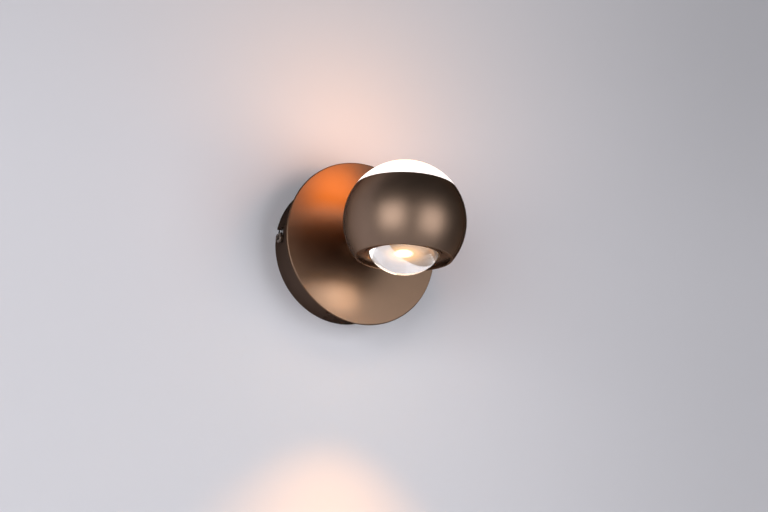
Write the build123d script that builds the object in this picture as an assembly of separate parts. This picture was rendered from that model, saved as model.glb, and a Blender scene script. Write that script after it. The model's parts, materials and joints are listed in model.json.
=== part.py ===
from build123d import *
import math
import os

# Up and down wall light: a ball head on a short arm in front of a round canopy.
# Millimetres. +Z is up, +X is to the right of someone facing the wall, and the wall is the plane
# Y = 0, with the light standing out towards -Y. The origin is the middle of the bracket's back.
#
# The bracket, the canopy and the arm are drawn lying down: x to the right, y up, and z as the
# distance from the wall. The head is drawn upright about the middle of its ball, with +y towards
# the wall. stand_up() and hang_out() move the two into the frame above.

# Canopy: the front disc and the drum behind it
disc_d = 120.0
disc_t = 2.0
disc_edge_r = 0.6
drum_d = 106.2
drum_wall = 1.3
drum_depth = 32.0
drum_edge = 0.25
spigot_wall = 2.4
spigot_fit = 0.15
spigot_gap = 0.6
boss_h = 4.0
boss_wall = 2.0
boss_floor = 0.6

# Wall bracket and the bayonet that the drum turns on
bracket_w = 18.0
bracket_t = 1.5
bracket_bend_r = 1.0
ear_h = 13.5
ear_corner_r = 4.0
ear_gap = 0.5
ear_collar_d = 6.0
ear_collar_h = 1.5
wall_slot_pitch = 60.0
wall_slot_w = 4.5
wall_slot_l = 12.0
cable_hole_d = 10.0
bracket_earth_x = 15.0
earth_cup_rim = 0.8
earth_cup_h = 1.8
earth_cup_floor = 0.8
earth_head_play = 0.2
side_screw_d = 3.0
side_screw_len = 8.0
side_head_d = 7.0
side_head_h = 2.2
side_head_gap = 0.35
side_screw_depth = 10.0
bayonet_turn = 7.5
bayonet_clear = 0.3
bayonet_flare = 1.2
bayonet_corner_extra = 0.4

# Grub screws that lock the disc in the drum
set_screw_d = 3.0
set_screw_len = 4.0
set_screw_count = 3
set_screw_first_deg = 252.0
set_screw_inset = 2.5
set_screw_sunk = 0.7
set_screw_hole_clear = 0.25
set_screw_socket_r = 0.85
set_screw_socket_h = 1.2

# Fasteners and cuts in common
cut_over = 1.0
screw_end_gap = 0.4
thread_clear = 0.05
pass_clear = 0.2
lead_clear = 0.35
lead_end_gap = 0.3
m3_d = 3.0
m3_head_d = 5.6
m3_head_h = 2.2
m4_d = 4.0
m4_head_d = 7.6
m4_head_h = 2.6
m25_d = 2.5
m25_head_d = 4.5
m25_head_h = 1.5
recess_share = 0.55
recess_arm_share = 0.15
head_round_share = 0.6
tip_bevel_share = 0.12
nut_bevel_share = 0.8

# Arm: a threaded tube through a sleeve, with the parts that let the head turn on it
nipple_d = 10.0
nipple_bore = 6.4
nipple_run = 0.05
nipple_pass = 0.2
nipple_over = 1.5
nipple_edge = 0.5
lead_split_in = 4.6
sleeve_d = 16.0
sleeve_edge_r = 0.4
nut_af = 14.0
nut_h = 5.0
canopy_washer_d = 18.0
canopy_washer_t = 1.2
outer_washer_d = 16.8
outer_washer_t = 0.95
turn_gap = 0.05
inner_washer_d = 20.0
inner_washer_t = 0.75
stop_washer_d = 18.0
stop_washer_t = 1.5
finger_w = 1.6
finger_r = 13.0
disc_spring_od = 17.6
disc_spring_h = 1.2
disc_spring_t = 0.7
wire_sleeve_od = 5.6
wire_sleeve_id = 4.6
wire_sleeve_back = 6.0
wire_sleeve_front = 2.4

# Ball head
ball_d = 85.0
ball_gap = 18.7
ball_wall = 1.2
band_up = 24.0
band_down = 26.1
rim_edge = 0.2
pad_over = 0.7
back_boss_r = 14.0
back_boss_len = 7.0
stop_pin_d = 2.0
stop_pin_at = 11.5
stop_pin_in = 3.0
stop_pin_out = 2.5
floor_recess = 3.1
floor_t = 2.0
collar_w = 1.8
collar_h = 0.85
lens_fit = 0.15
lug_count = 3
lug_first_deg = 30.0
lug_w = 9.0
lug_h = 6.5
lug_reach = 3.0
lug_floor = 0.8

# Dome, lens and what stands behind them
dome_wall = 2.2
dome_fit = 0.25
dome_skirt_t = 1.8
dome_skirt_h = 8.0
dome_hook_out = 1.2
dome_hook_h = 2.0
dome_hook_w = 8.0
dome_hook_bevel = 0.72
lens_d = 48.9
lens_sag = 13.5
lens_lip = 1.25
lens_flange_t = 1.8
gasket_t = 0.6
gasket_w = 1.0
cup_wall = 0.6
cup_play = 0.1
cup_root = 1.0
cup_mouth_r = 6.5
cup_skirt_t = 1.2
cup_rise = 3.6
plate_clear = 1.4
plate_t = 2.5
plate_play = 0.5
core_r = 12.0
core_y = -4.0
sink_joint = 0.5
fin_t = 1.5
fin_root = 2.0
fin_r = 24.0
fin_count = 7
lead_hole_d = 4.0
plate_back_gap = 0.6
low_plate_over = 0.4
up_hole_a = (6.0, 17.0)
up_hole_b = (-8.0, 14.5)
down_hole_a = (-6.0, 17.0)
down_hole_b = (8.0, 14.5)
up_board_d = 48.0
up_board_t = 1.6
up_led_ring_r = 17.0
up_led_count = 12
up_led_l = 3.5
up_led_w = 2.8
up_led_h = 0.8
up_board_screw_x = 9.0
up_board_screw_len = 6.0
cob_board_w = 15.8
cob_board_t = 1.2
cob_chip_d = 9.0
cob_chip_h = 0.6
holder_d = 42.0
holder_t = 2.2
holder_play = 0.15
holder_board_play = 0.05
holder_relief = 1.5
holder_mouth_d = 12.6
holder_screw_x = 14.0
holder_sink = 1.2
holder_screw_len = 3.4

# LED driver, in the upper half of the canopy
driver_l = 58.0
driver_w = 26.0
driver_h = 18.0
driver_wall = 1.4
driver_fit = 0.15
driver_lip_t = 1.0
driver_over_nut = 3.4
driver_lip = 1.6
driver_post = 3.0
driver_post_d = 3.0
driver_post_in = 2.0
driver_post_sunk = 0.5
driver_tab_l = 10.0
driver_tab_w = 8.0
driver_tab_t = 1.5
driver_screw_out = 6.0
driver_board_t = 1.6
driver_lead_z = 12.0
driver_lead_in = 3.5
driver_lead_pitch = 3.5
driver_top_gap = 1.0
transformer_l = 16.0
transformer_w = 14.0
large_capacitor_d = 8.0
large_capacitor_at = ((-14.0, 5.0), (15.0, 4.0))
small_capacitor_d = 6.0
small_capacitor_at = (15.0, -6.0)
small_capacitor_share = 0.7
coil_d = 7.2
coil_bore = 3.2
coil_at = (-14.5, -5.5)
coil_share = 0.6
plug_w = 6.8
plug_l = 5.0
plug_over = 1.6

# Mains terminal and earth, in the lower half of the canopy
terminal_y = -25.0
terminal_l = 16.0
terminal_h = 13.0
terminal_pitch = 10.0
terminal_end = 0.5
terminal_corner_r = 1.0
terminal_foot_l = 8.0
terminal_foot_w = 8.0
terminal_foot_t = 2.5
terminal_foot_root = 1.0
terminal_screw_out = 4.0
clamp_w = 6.0
clamp_l = 12.0
clamp_axis = 6.0
clamp_bore = 3.6
clamp_play = 0.1
clamp_screw_d = 2.6
clamp_screw_len = 4.3
clamp_screw_y = 4.0
clamp_screw_pass = 0.3
clamp_screw_gap = 0.2
blade_slot_w = 0.5
blade_slot_h = 0.7
earth_x = 30.0
earth_y = -9.0
tag_t = 0.8
tag_ring_d = 6.8
tag_neck_w = 2.8
tag_neck_l = 2.0
tag_barrel_d = 3.4
tag_barrel_l = 5.0
tag_barrel_in = 1.0
tag_barrel_play = 0.15
tag_barrel_floor = 0.6
mains_lead_d = 2.0
led_lead_d = 1.6

# Values that follow from the sizes above
disc_back = drum_depth
disc_face = drum_depth + disc_t
drum_r = drum_d / 2
drum_in_r = drum_r - drum_wall
spigot_r = drum_in_r - spigot_fit
spigot_in_r = spigot_r - spigot_wall
spigot_back = ear_h + spigot_gap
boss_back = disc_back - boss_h
set_screw_z = spigot_back + set_screw_inset
tag_barrel_z = boss_back - tag_t / 2
ear_x = math.sqrt((drum_in_r - ear_gap) ** 2 - (bracket_w / 2) ** 2)
slot_w = side_screw_d + 2 * bayonet_clear
nut_corner_r = nut_af / math.sqrt(3)
nut_back = disc_back - canopy_washer_t - nut_h
nipple_r = nipple_d / 2
nipple_hole_r = nipple_r + nipple_pass
ball_r = ball_d / 2
ball_in_r = ball_r - ball_wall
pad_y = math.sqrt(ball_r ** 2 - (sleeve_d / 2 + pad_over) ** 2)
head_out = disc_face + ball_gap + ball_r
pad_z = head_out - pad_y
boss_y = pad_y - back_boss_len
boss_z = head_out - boss_y
inner_washer_z = boss_z + turn_gap
stop_washer_z = inner_washer_z + inner_washer_t
disc_spring_z = stop_washer_z + stop_washer_t
swivel_nut_z = disc_spring_z + disc_spring_h
nipple_front = swivel_nut_z + nut_h + nipple_over
nipple_back = nut_back - nipple_over
lead_split_z = nipple_front - lead_split_in
floor_low = -band_down + floor_recess
floor_top = floor_low + floor_t
lens_r = lens_d / 2
flange_r = lens_r + lens_lip
flange_low = floor_top + gasket_t
flange_top = flange_low + lens_flange_t
lens_base = floor_low - collar_h
lens_ball_r = (lens_r ** 2 + lens_sag ** 2) / (2 * lens_sag)
plate_low = nut_corner_r + plate_clear
plate_high = plate_low + plate_t
holder_low = -plate_high - holder_t
holder_seat = -plate_high - holder_sink
driver_y = nut_corner_r + driver_over_nut + driver_w / 2
driver_back = disc_back - driver_h
driver_lid_z = driver_back + driver_wall
driver_tab_z = boss_back - driver_tab_t
driver_screw_x = driver_l / 2 + driver_screw_out
driver_board_z = disc_back - driver_wall - driver_post - driver_board_t
driver_lead_at = disc_back - driver_lead_z
terminal_back = disc_back - terminal_h
clamp_z = disc_back - clamp_axis
terminal_half_l = terminal_pitch * 1.5 + terminal_end
terminal_screw_x = terminal_half_l + terminal_screw_out
terminal_foot_z = boss_back - terminal_foot_t


def ball_half(radius, z):
    """The radius of a ball's section at height z."""
    return math.sqrt(radius ** 2 - z ** 2)


top_out_r = ball_half(ball_r, band_up)
top_in_r = ball_half(ball_in_r, band_up)
up_plate_r = top_in_r - plate_play
plate_screw_r = up_plate_r - m3_head_d / 2 - pass_clear
lug_in_r = plate_screw_r - lug_reach
low_plate_r = flange_r + low_plate_over
plate_back_y = head_out - disc_spring_z - plate_back_gap


def disc(r, z0, z1):
    """A round plate or bar about the Z axis, from z0 to z1."""
    return Pos(0, 0, (z0 + z1) / 2) * Cylinder(r, abs(z1 - z0))


def tube(r, bore, z0, z1):
    """A ring about the Z axis."""
    return disc(r, z0, z1) - disc(bore, z0 - cut_over, z1 + cut_over)


def block(x0, x1, y0, y1, z0, z1):
    """A box from its six faces."""
    return Pos((x0 + x1) / 2, (y0 + y1) / 2, (z0 + z1) / 2) * Box(x1 - x0, y1 - y0, z1 - z0)


def bar_x(r, x0, x1, y, z):
    """A round bar along X."""
    return Pos((x0 + x1) / 2, y, z) * Rot(0, 90, 0) * Cylinder(r, x1 - x0)


def bar_y(r, x, y0, y1, z):
    """A round bar along Y."""
    return Pos(x, (y0 + y1) / 2, z) * Rot(90, 0, 0) * Cylinder(r, y1 - y0)


def at(x, y, z, shape):
    """A shape moved to a point."""
    return Pos(x, y, z) * shape


def hexagon(af, bore, z0, z1):
    """A hexagon nut about the Z axis, with its corners taken off at both ends."""
    corner = af / math.sqrt(3)
    prism = Pos(0, 0, z0) * extrude(RegularPolygon(corner, 6), z1 - z0)
    cone = disc(corner, z0, z1)
    cone = chamfer(cone.edges().filter_by(GeomType.CIRCLE), (corner - af / 2) * nut_bevel_share)
    return (prism & cone) - disc(bore, z0 - cut_over, z1 + cut_over)


def cross_recess(head_d, head_h):
    """The cross-shaped hollow in the top of a screw's head."""
    arm = Box(head_d * recess_share, head_d * recess_arm_share, head_h * recess_share)
    both = arm + Rot(0, 0, 90) * arm
    return Pos(0, 0, head_h * (1 - recess_share / 2)) * both


def screw(d, length, head_d, head_h):
    """A pan-head screw along Z, with the underside of its head at the origin and its head up."""
    head = disc(head_d / 2, 0, head_h)
    head = fillet(head.edges().group_by(Axis.Z)[-1], head_h * head_round_share)
    shank = disc(d / 2, -length, 0)
    shank = chamfer(shank.edges().group_by(Axis.Z)[0], d * tip_bevel_share)
    return head + shank - cross_recess(head_d, head_h)


def lathe(*points):
    """A closed outline of straight lines in the XZ plane, turned about Z."""
    outline = [(x, 0, z) for x, z in points]
    return revolve(make_face(Polyline(*outline, close=True)), Axis.Z)


def sphere_arc(r, x0, z0, x1, z1):
    """An arc of radius r about the origin between two points of the XZ plane."""
    a0 = math.atan2(z0, x0)
    a1 = math.atan2(z1, x1)
    mid = (a0 + a1) / 2
    return ThreePointArc((x0, 0, z0), (r * math.cos(mid), 0, r * math.sin(mid)), (x1, 0, z1))


def stand_up(shape):
    """From the lying frame of the canopy to the frame of the light."""
    return Rot(90, 0, 0) * shape


def hang_out(shape):
    """From the head's own frame to the frame of the light."""
    return Pos(0, -head_out, 0) * shape


def corner_radii(points):
    """The radius of each corner of a wire's route."""
    radii = []
    for before, corner, after in zip(points, points[1:], points[2:]):
        run_in = Vector(*corner) - Vector(*before)
        run_out = Vector(*after) - Vector(*corner)
        half_turn = math.radians(run_in.get_angle(run_out)) / 2
        radii.append(0.45 * min(run_in.length, run_out.length) / math.tan(half_turn))
    return radii


def lead(name, points, d):
    """A round wire on straight runs joined by tangent arcs, which are printed to be checked."""
    radii = corner_radii(points)
    route = FilletPolyline(*points, radius=radii)
    wire = sweep(Plane(origin=route @ 0, z_dir=route % 0) * Circle(d / 2), path=route)
    drawn = wire.volume / (math.pi * d ** 2 / 4 * route.length)
    sizes = " ".join(f"{r / d:.1f}" for r in radii)
    print(f"{name}: length {route.length:.1f}, volume ratio {drawn:.4f}, radii / diameter {sizes}")
    return wire


# Wall bracket


def wall_bracket():
    """The strip on the wall, with an ear bent forward at each end."""
    half_w = bracket_w / 2
    outer = block(-ear_x, ear_x, -half_w, half_w, 0, ear_h)
    inner_x = ear_x - bracket_t
    inner = block(-inner_x, inner_x, -half_w - cut_over, half_w + cut_over, bracket_t,
                  ear_h + cut_over)
    inner = fillet(inner.edges().filter_by(Axis.Y).group_by(Axis.Z)[0], bracket_bend_r)
    outer = fillet(outer.edges().filter_by(Axis.Y).group_by(Axis.Z)[0], bracket_bend_r + bracket_t)
    outer = fillet(outer.edges().filter_by(Axis.X).group_by(Axis.Z)[-1], ear_corner_r)
    strip = outer - inner
    for side in (-1, 1):
        ends = sorted((side * inner_x, side * (inner_x - ear_collar_h)))
        strip += bar_x(ear_collar_d / 2, *ends, 0, side_screw_depth)
    through = ear_x + cut_over
    strip -= bar_x(side_screw_d / 2 + thread_clear, -through, through, 0, side_screw_depth)
    for side in (-1, 1):
        slot = SlotOverall(wall_slot_l, wall_slot_w)
        strip -= at(side * wall_slot_pitch / 2, 0, -cut_over,
                    extrude(slot, bracket_t + 2 * cut_over))
    strip -= disc(cable_hole_d / 2, -cut_over, bracket_t + cut_over)
    earth_hole = disc(m4_d / 2 + thread_clear, -cut_over, bracket_t + cut_over)
    strip -= at(bracket_earth_x, 0, 0, earth_hole)
    return strip


def bracket_side_screws():
    """One screw through each ear, its head outside the drum's wall."""
    one = screw(side_screw_d, side_screw_len, side_head_d, side_head_h)
    one = at(drum_r + side_head_gap, 0, side_screw_depth, Rot(0, 90, 0) * one)
    return [one, Rot(0, 0, 180) * one]


def bracket_earth_washer():
    """The cup washer that holds the house's earth wire."""
    top = bracket_t + earth_cup_h
    cup = tube(m4_head_d / 2 + earth_cup_rim, m4_d / 2 + pass_clear, bracket_t, top)
    cup -= disc(m4_head_d / 2, bracket_t + earth_cup_floor, top + cut_over)
    return at(bracket_earth_x, 0, 0, cup)


def bracket_earth_screw():
    """The house's earth screw, flush with the bracket's back."""
    under_head = bracket_t + earth_cup_floor
    head_d = m4_head_d - 2 * earth_head_play
    return at(bracket_earth_x, 0, under_head, screw(m4_d, under_head, head_d, m4_head_h))


# Canopy


def ring_cut(angle0, angle1):
    """The leg of a bayonet slot that runs round the drum's wall, with its round ends."""
    inner = drum_in_r - cut_over
    outer = drum_r + cut_over
    low = side_screw_depth - slot_w / 2
    high = side_screw_depth + slot_w / 2
    face = make_face(Polyline((inner, 0, low), (outer, 0, low), (outer, 0, high), (inner, 0, high),
                              close=True))
    leg = Rot(0, 0, angle0) * revolve(face, Axis.Z, revolution_arc=angle1 - angle0)
    for angle in (angle0, angle1):
        leg += Rot(0, 0, angle) * bar_x(slot_w / 2, inner, outer, 0, side_screw_depth)
    return leg


def bayonet_slot():
    """An L-shaped slot for the side screw at +X: a flared mouth, a corner and a leg."""
    inner = drum_in_r - cut_over
    outer = drum_r + cut_over
    half = slot_w / 2
    end_play = math.degrees(bayonet_clear / drum_r)
    mouth = block(inner, outer, -half, half, -cut_over, side_screw_depth)
    wide = half + bayonet_flare
    flare = make_face(Polyline((inner, -wide, 0), (inner, wide, 0), (inner, half, bayonet_flare),
                               (inner, -half, bayonet_flare), close=True))
    mouth += extrude(flare, outer - inner, dir=(1, 0, 0))
    mouth += bar_x(half + bayonet_corner_extra, inner, outer, 0, side_screw_depth)
    return Rot(0, 0, -bayonet_turn) * mouth + ring_cut(-bayonet_turn, end_play)


def set_screw_angles():
    """The directions of the grub screws, in degrees from +X towards the top."""
    return [set_screw_first_deg + 360 * i / set_screw_count for i in range(set_screw_count)]


def canopy_drum():
    """The canopy's side wall, open at both ends."""
    ring = tube(drum_r, drum_in_r, 0, drum_depth)
    outer_edges = ring.edges().filter_by(GeomType.CIRCLE).sort_by(SortBy.RADIUS)[-2:]
    ring = chamfer(outer_edges, drum_edge)
    for turn in (0, 180):
        ring -= Rot(0, 0, turn) * bayonet_slot()
    hole_r = set_screw_d / 2 + set_screw_hole_clear
    for angle in set_screw_angles():
        hole = bar_x(hole_r, drum_in_r - cut_over, drum_r + cut_over, 0, set_screw_z)
        ring -= Rot(0, 0, angle) * hole
    return ring


def disc_boss(x, y, screw_d):
    """A screw boss on the disc's back and the blind hole in it."""
    boss = at(x, y, 0, disc(screw_d / 2 + boss_wall, boss_back, disc_back))
    hole = disc(screw_d / 2 + thread_clear, boss_back - cut_over, disc_back - boss_floor)
    return boss, at(x, y, 0, hole)


def front_disc():
    """The round disc, with the ring that fits in the drum and the bosses behind it."""
    plate = disc(disc_d / 2, disc_back, disc_face)
    plate = fillet(plate.edges().filter_by(GeomType.CIRCLE), disc_edge_r)
    plate += tube(spigot_r, spigot_in_r, spigot_back, disc_back)
    places = [(-driver_screw_x, driver_y), (driver_screw_x, driver_y)]
    places += [(-terminal_screw_x, terminal_y), (terminal_screw_x, terminal_y), (earth_x, earth_y)]
    for x, y in places:
        boss, hole = disc_boss(x, y, m3_d)
        plate = plate + boss - hole
    plate -= disc(nipple_hole_r, disc_back - cut_over, disc_face + cut_over)
    hole_r = set_screw_d / 2 + thread_clear
    for angle in set_screw_angles():
        hole = bar_x(hole_r, spigot_in_r - cut_over, spigot_r + cut_over, 0, set_screw_z)
        plate -= Rot(0, 0, angle) * hole
    return plate


def disc_set_screws():
    """Socket grub screws, in the disc's ring and out into the drum's holes."""
    end = drum_r - set_screw_sunk
    one = bar_x(set_screw_d / 2, end - set_screw_len, end, 0, set_screw_z)
    socket = extrude(RegularPolygon(set_screw_socket_r, 6), set_screw_socket_h + cut_over)
    one -= Pos(end - set_screw_socket_h, 0, set_screw_z) * Rot(0, 90, 0) * socket
    return [Rot(0, 0, angle) * one for angle in set_screw_angles()]


# Arm


def hollow_nipple():
    """The tube that the head turns on, with the wires inside."""
    body = tube(nipple_r, nipple_bore / 2, nipple_back, nipple_front)
    outer_edges = body.edges().filter_by(GeomType.CIRCLE).sort_by(SortBy.RADIUS)[-2:]
    return chamfer(outer_edges, nipple_edge)


def canopy_washer():
    """The washer behind the disc."""
    return tube(canopy_washer_d / 2, nipple_hole_r, disc_back - canopy_washer_t, disc_back)


def canopy_locknut():
    """The nut that clamps the arm to the disc."""
    return hexagon(nut_af, nipple_r + thread_clear, nut_back, nut_back + nut_h)


def arm_sleeve():
    """The plain tube between the disc and the ball."""
    front = pad_z - turn_gap - outer_washer_t
    sleeve = tube(sleeve_d / 2, nipple_hole_r, disc_face, front)
    outer_edges = sleeve.edges().filter_by(GeomType.CIRCLE).sort_by(SortBy.RADIUS)[-2:]
    return fillet(outer_edges, sleeve_edge_r)


def outer_friction_washer():
    """The plastic washer that the ball's flat pad turns on."""
    front = pad_z - turn_gap
    return tube(outer_washer_d / 2, nipple_hole_r, front - outer_washer_t, front)


def inner_friction_washer():
    """The plastic washer on the boss inside the ball."""
    return tube(inner_washer_d / 2, nipple_hole_r, inner_washer_z, stop_washer_z)


def stop_washer():
    """The washer fixed to the tube, whose finger meets the stop pin at each end of the turn."""
    ring = tube(stop_washer_d / 2, nipple_r + thread_clear, stop_washer_z, disc_spring_z)
    finger = block(-finger_w / 2, finger_w / 2, stop_washer_d / 2 - cut_over, finger_r,
                   stop_washer_z, disc_spring_z)
    return ring + finger


def disc_spring():
    """The coned spring that keeps the head's friction steady."""
    outer = disc_spring_od / 2
    inner = nipple_r + nipple_pass
    foot = disc_spring_z
    top = disc_spring_z + disc_spring_h
    return lathe((outer, foot), (outer, foot + disc_spring_t), (inner, top),
                 (inner, top - disc_spring_t))


def swivel_locknut():
    """The nut that sets how hard the head turns."""
    return hexagon(nut_af, nipple_r + thread_clear, swivel_nut_z, swivel_nut_z + nut_h)


def wire_sleeve():
    """The insulating tube round the wires in the arm."""
    back = nipple_back - wire_sleeve_back
    return tube(wire_sleeve_od / 2, wire_sleeve_id / 2, back, nipple_front + wire_sleeve_front)


# LED driver


def driver_span(play):
    """The half length and the two sides of the space inside the driver's case, less a play."""
    half_l = driver_l / 2 - driver_wall - play
    half_w = driver_w / 2 - driver_wall - play
    return half_l, driver_y - half_w, driver_y + half_w


def driver_case():
    """The driver's case, open towards the wall, with a screw tab at each end."""
    half_l = driver_l / 2
    low = driver_y - driver_w / 2
    high = driver_y + driver_w / 2
    case = block(-half_l, half_l, low, high, driver_lid_z, disc_back)
    case = fillet(case.edges().filter_by(Axis.Z), driver_wall)
    in_l, in_low, in_high = driver_span(0)
    case -= block(-in_l, in_l, in_low, in_high, driver_lid_z - cut_over,
                  disc_back - driver_wall)
    for side in (-1, 1):
        out = half_l + driver_tab_l
        tab_x = sorted((side * (half_l - driver_wall), side * out))
        tab = block(*tab_x, driver_y - driver_tab_w / 2, driver_y + driver_tab_w / 2,
                    driver_tab_z, boss_back)
        tab -= at(side * driver_screw_x, driver_y, 0,
                  disc(m3_d / 2 + pass_clear, driver_tab_z - cut_over, boss_back + cut_over))
        case += tab
        post = disc(driver_post_d / 2, disc_back - driver_wall - driver_post,
                    disc_back - driver_post_sunk)
        for edge in (in_low + driver_post_in, in_high - driver_post_in):
            case += at(side * (in_l - driver_post_in), edge, 0, post)
    for x, d in ((-half_l, mains_lead_d), (half_l, led_lead_d)):
        for y in driver_lead_ys():
            case -= bar_x(d / 2 + lead_clear, x - driver_wall - cut_over,
                          x + driver_wall + cut_over, y, driver_lead_at)
    return case


def driver_lead_ys():
    """The heights of the two wires at each end of the driver."""
    first = driver_y - driver_w / 2 + driver_lead_in
    return first, first + driver_lead_pitch


def driver_lid():
    """The driver's lid, with a lip inside the case."""
    half_l = driver_l / 2
    low = driver_y - driver_w / 2
    high = driver_y + driver_w / 2
    lid = block(-half_l, half_l, low, high, driver_back, driver_lid_z)
    lid = fillet(lid.edges().filter_by(Axis.Z), driver_wall)
    lip_l, lip_low, lip_high = driver_span(driver_fit)
    lip = block(-lip_l, lip_l, lip_low, lip_high, driver_lid_z, driver_lid_z + driver_lip)
    hollow = block(driver_lip_t - lip_l, lip_l - driver_lip_t, lip_low + driver_lip_t,
                   lip_high - driver_lip_t, driver_lid_z, driver_lid_z + driver_lip + cut_over)
    return lid + (lip - hollow)


def driver_board():
    """The circuit board on the four posts of the case."""
    half_l, low, high = driver_span(2 * driver_fit)
    return block(-half_l, half_l, low, high, driver_board_z, driver_board_z + driver_board_t)


def driver_parts():
    """The larger parts on the driver's board: a transformer, capacitors, a coil and two plugs."""
    top = driver_board_z
    half_l, low, high = driver_span(2 * driver_fit)
    tall = top - driver_lid_z - driver_lip - driver_top_gap
    half_w = transformer_w / 2
    parts = [block(-transformer_l / 2, transformer_l / 2, driver_y - half_w, driver_y + half_w,
                   top - tall, top)]
    for x, y in large_capacitor_at:
        parts.append(at(x, driver_y + y, 0, disc(large_capacitor_d / 2, top - tall, top)))
    small = disc(small_capacitor_d / 2, top - tall * small_capacitor_share, top)
    parts.append(at(small_capacitor_at[0], driver_y + small_capacitor_at[1], 0, small))
    coil = tube(coil_d / 2, coil_bore / 2, top - tall * coil_share, top)
    parts.append(at(coil_at[0], driver_y + coil_at[1], 0, coil))
    for side in (-1, 1):
        plug_x = sorted((side * half_l, side * (half_l - plug_l)))
        parts.append(block(*plug_x, low, low + plug_w, driver_lead_at - plug_over, top))
    return parts


def driver_screws():
    """The two screws through the driver's tabs."""
    length = driver_tab_t + boss_h - boss_floor - screw_end_gap
    one = Rot(180, 0, 0) * screw(m3_d, length, m3_head_d, m3_head_h)
    return [at(side * driver_screw_x, driver_y, driver_tab_z, one) for side in (-1, 1)]


# Mains terminal and earth


def pole_xs():
    """The three poles of the terminal, from left to right."""
    return [-terminal_pitch, 0, terminal_pitch]


def terminal_block():
    """The three-pole terminal's housing, with a foot at each end on a boss of the disc."""
    low = terminal_y - terminal_l / 2
    high = terminal_y + terminal_l / 2
    body = block(-terminal_half_l, terminal_half_l, low, high, terminal_back, disc_back)
    body = fillet(body.edges().filter_by(Axis.Z), terminal_corner_r)
    half_w = clamp_w / 2 + clamp_play
    half_l = clamp_l / 2 + clamp_play
    well = disc(clamp_screw_d / 2 + clamp_screw_pass, terminal_back - cut_over, clamp_z)
    for x in pole_xs():
        body -= block(x - half_w, x + half_w, terminal_y - half_l, terminal_y + half_l,
                      clamp_z - half_w, clamp_z + half_w)
        body -= bar_y(clamp_bore / 2, x, low - cut_over, high + cut_over, clamp_z)
        for y in (-clamp_screw_y, clamp_screw_y):
            body -= at(x, terminal_y + y, 0, well)
    for side in (-1, 1):
        foot_x = sorted((side * (terminal_half_l - terminal_foot_root),
                         side * (terminal_half_l + terminal_foot_l)))
        body += block(*foot_x, terminal_y - terminal_foot_w / 2, terminal_y + terminal_foot_w / 2,
                      terminal_foot_z, boss_back)
        body -= at(side * terminal_screw_x, terminal_y, 0,
                   disc(m3_d / 2 + pass_clear, terminal_foot_z - cut_over, boss_back + cut_over))
    return body


def terminal_clamps():
    """The brass tube of each pole."""
    clamps = []
    for x in pole_xs():
        clamp = block(x - clamp_w / 2, x + clamp_w / 2, terminal_y - clamp_l / 2,
                      terminal_y + clamp_l / 2, clamp_z - clamp_w / 2, clamp_z + clamp_w / 2)
        clamp -= bar_y(clamp_bore / 2, x, terminal_y - clamp_l, terminal_y + clamp_l, clamp_z)
        for y in (-clamp_screw_y, clamp_screw_y):
            clamp -= at(x, terminal_y + y, 0,
                        disc(clamp_screw_d / 2 + thread_clear, clamp_z - clamp_w, clamp_z))
        clamps.append(clamp)
    return clamps


def terminal_screws():
    """Two slotted screws for each pole."""
    front = clamp_z - mains_lead_d / 2 - clamp_screw_gap
    back = front - clamp_screw_len
    one = disc(clamp_screw_d / 2, back, front)
    one -= at(0, 0, back, Box(clamp_screw_d * 2, blade_slot_w, blade_slot_h * 2))
    return [at(x, terminal_y + y, 0, one) for x in pole_xs() for y in (-clamp_screw_y, clamp_screw_y)]


def terminal_fixing_screws():
    """The two screws that hold the terminal on the disc."""
    length = terminal_foot_t + boss_h - boss_floor - screw_end_gap
    one = Rot(180, 0, 0) * screw(m3_d, length, m3_head_d, m3_head_h)
    return [at(side * terminal_screw_x, terminal_y, terminal_foot_z, one) for side in (-1, 1)]


def earth_tag():
    """The crimped ring on the disc's earth boss."""
    ring = disc(tag_ring_d / 2, boss_back - tag_t, boss_back)
    neck = block(-tag_ring_d / 2 - tag_neck_l, 0, -tag_neck_w / 2, tag_neck_w / 2,
                 boss_back - tag_t, boss_back)
    tag = at(earth_x, earth_y, 0, ring + neck)
    end = earth_x - tag_ring_d / 2 - tag_barrel_in
    tag += bar_x(tag_barrel_d / 2, end - tag_barrel_l, end, earth_y, tag_barrel_z)
    tag -= bar_x(mains_lead_d / 2 + tag_barrel_play, end - tag_barrel_l - cut_over,
                 end - tag_barrel_floor, earth_y, tag_barrel_z)
    hole = disc(m3_d / 2 + pass_clear, boss_back - tag_t - cut_over, boss_back + cut_over)
    return tag - at(earth_x, earth_y, 0, hole)


def earth_tag_screw():
    """The screw of the earth tag."""
    length = tag_t + boss_h - boss_floor - screw_end_gap
    one = Rot(180, 0, 0) * screw(m3_d, length, m3_head_d, m3_head_h)
    return at(earth_x, earth_y, boss_back - tag_t, one)


# Head


def ball_outline():
    """The band's section in the XZ plane, with the floor and the collar round the lens."""
    low_z = -band_down
    hole_r = lens_r + lens_fit
    collar_r = hole_r + collar_w
    collar_low = floor_low - collar_h
    bottom_out = ball_half(ball_r, low_z)
    bottom_in = ball_half(ball_in_r, low_z)
    floor_top_r = ball_half(ball_in_r, floor_top)
    floor_low_r = ball_half(ball_in_r, floor_low)
    outer = sphere_arc(ball_r, bottom_out, low_z, top_out_r, band_up)
    top = Line((top_out_r, 0, band_up), (top_in_r, 0, band_up))
    inner = sphere_arc(ball_in_r, top_in_r, band_up, floor_top_r, floor_top)
    shelf = Polyline((floor_top_r, 0, floor_top), (hole_r, 0, floor_top), (hole_r, 0, collar_low),
                     (collar_r, 0, collar_low), (collar_r, 0, floor_low),
                     (floor_low_r, 0, floor_low))
    under = sphere_arc(ball_in_r, floor_low_r, floor_low, bottom_in, low_z)
    rim = Line((bottom_in, 0, low_z), (bottom_out, 0, low_z))
    return make_face([outer, top, inner, shelf, under, rim])


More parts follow.
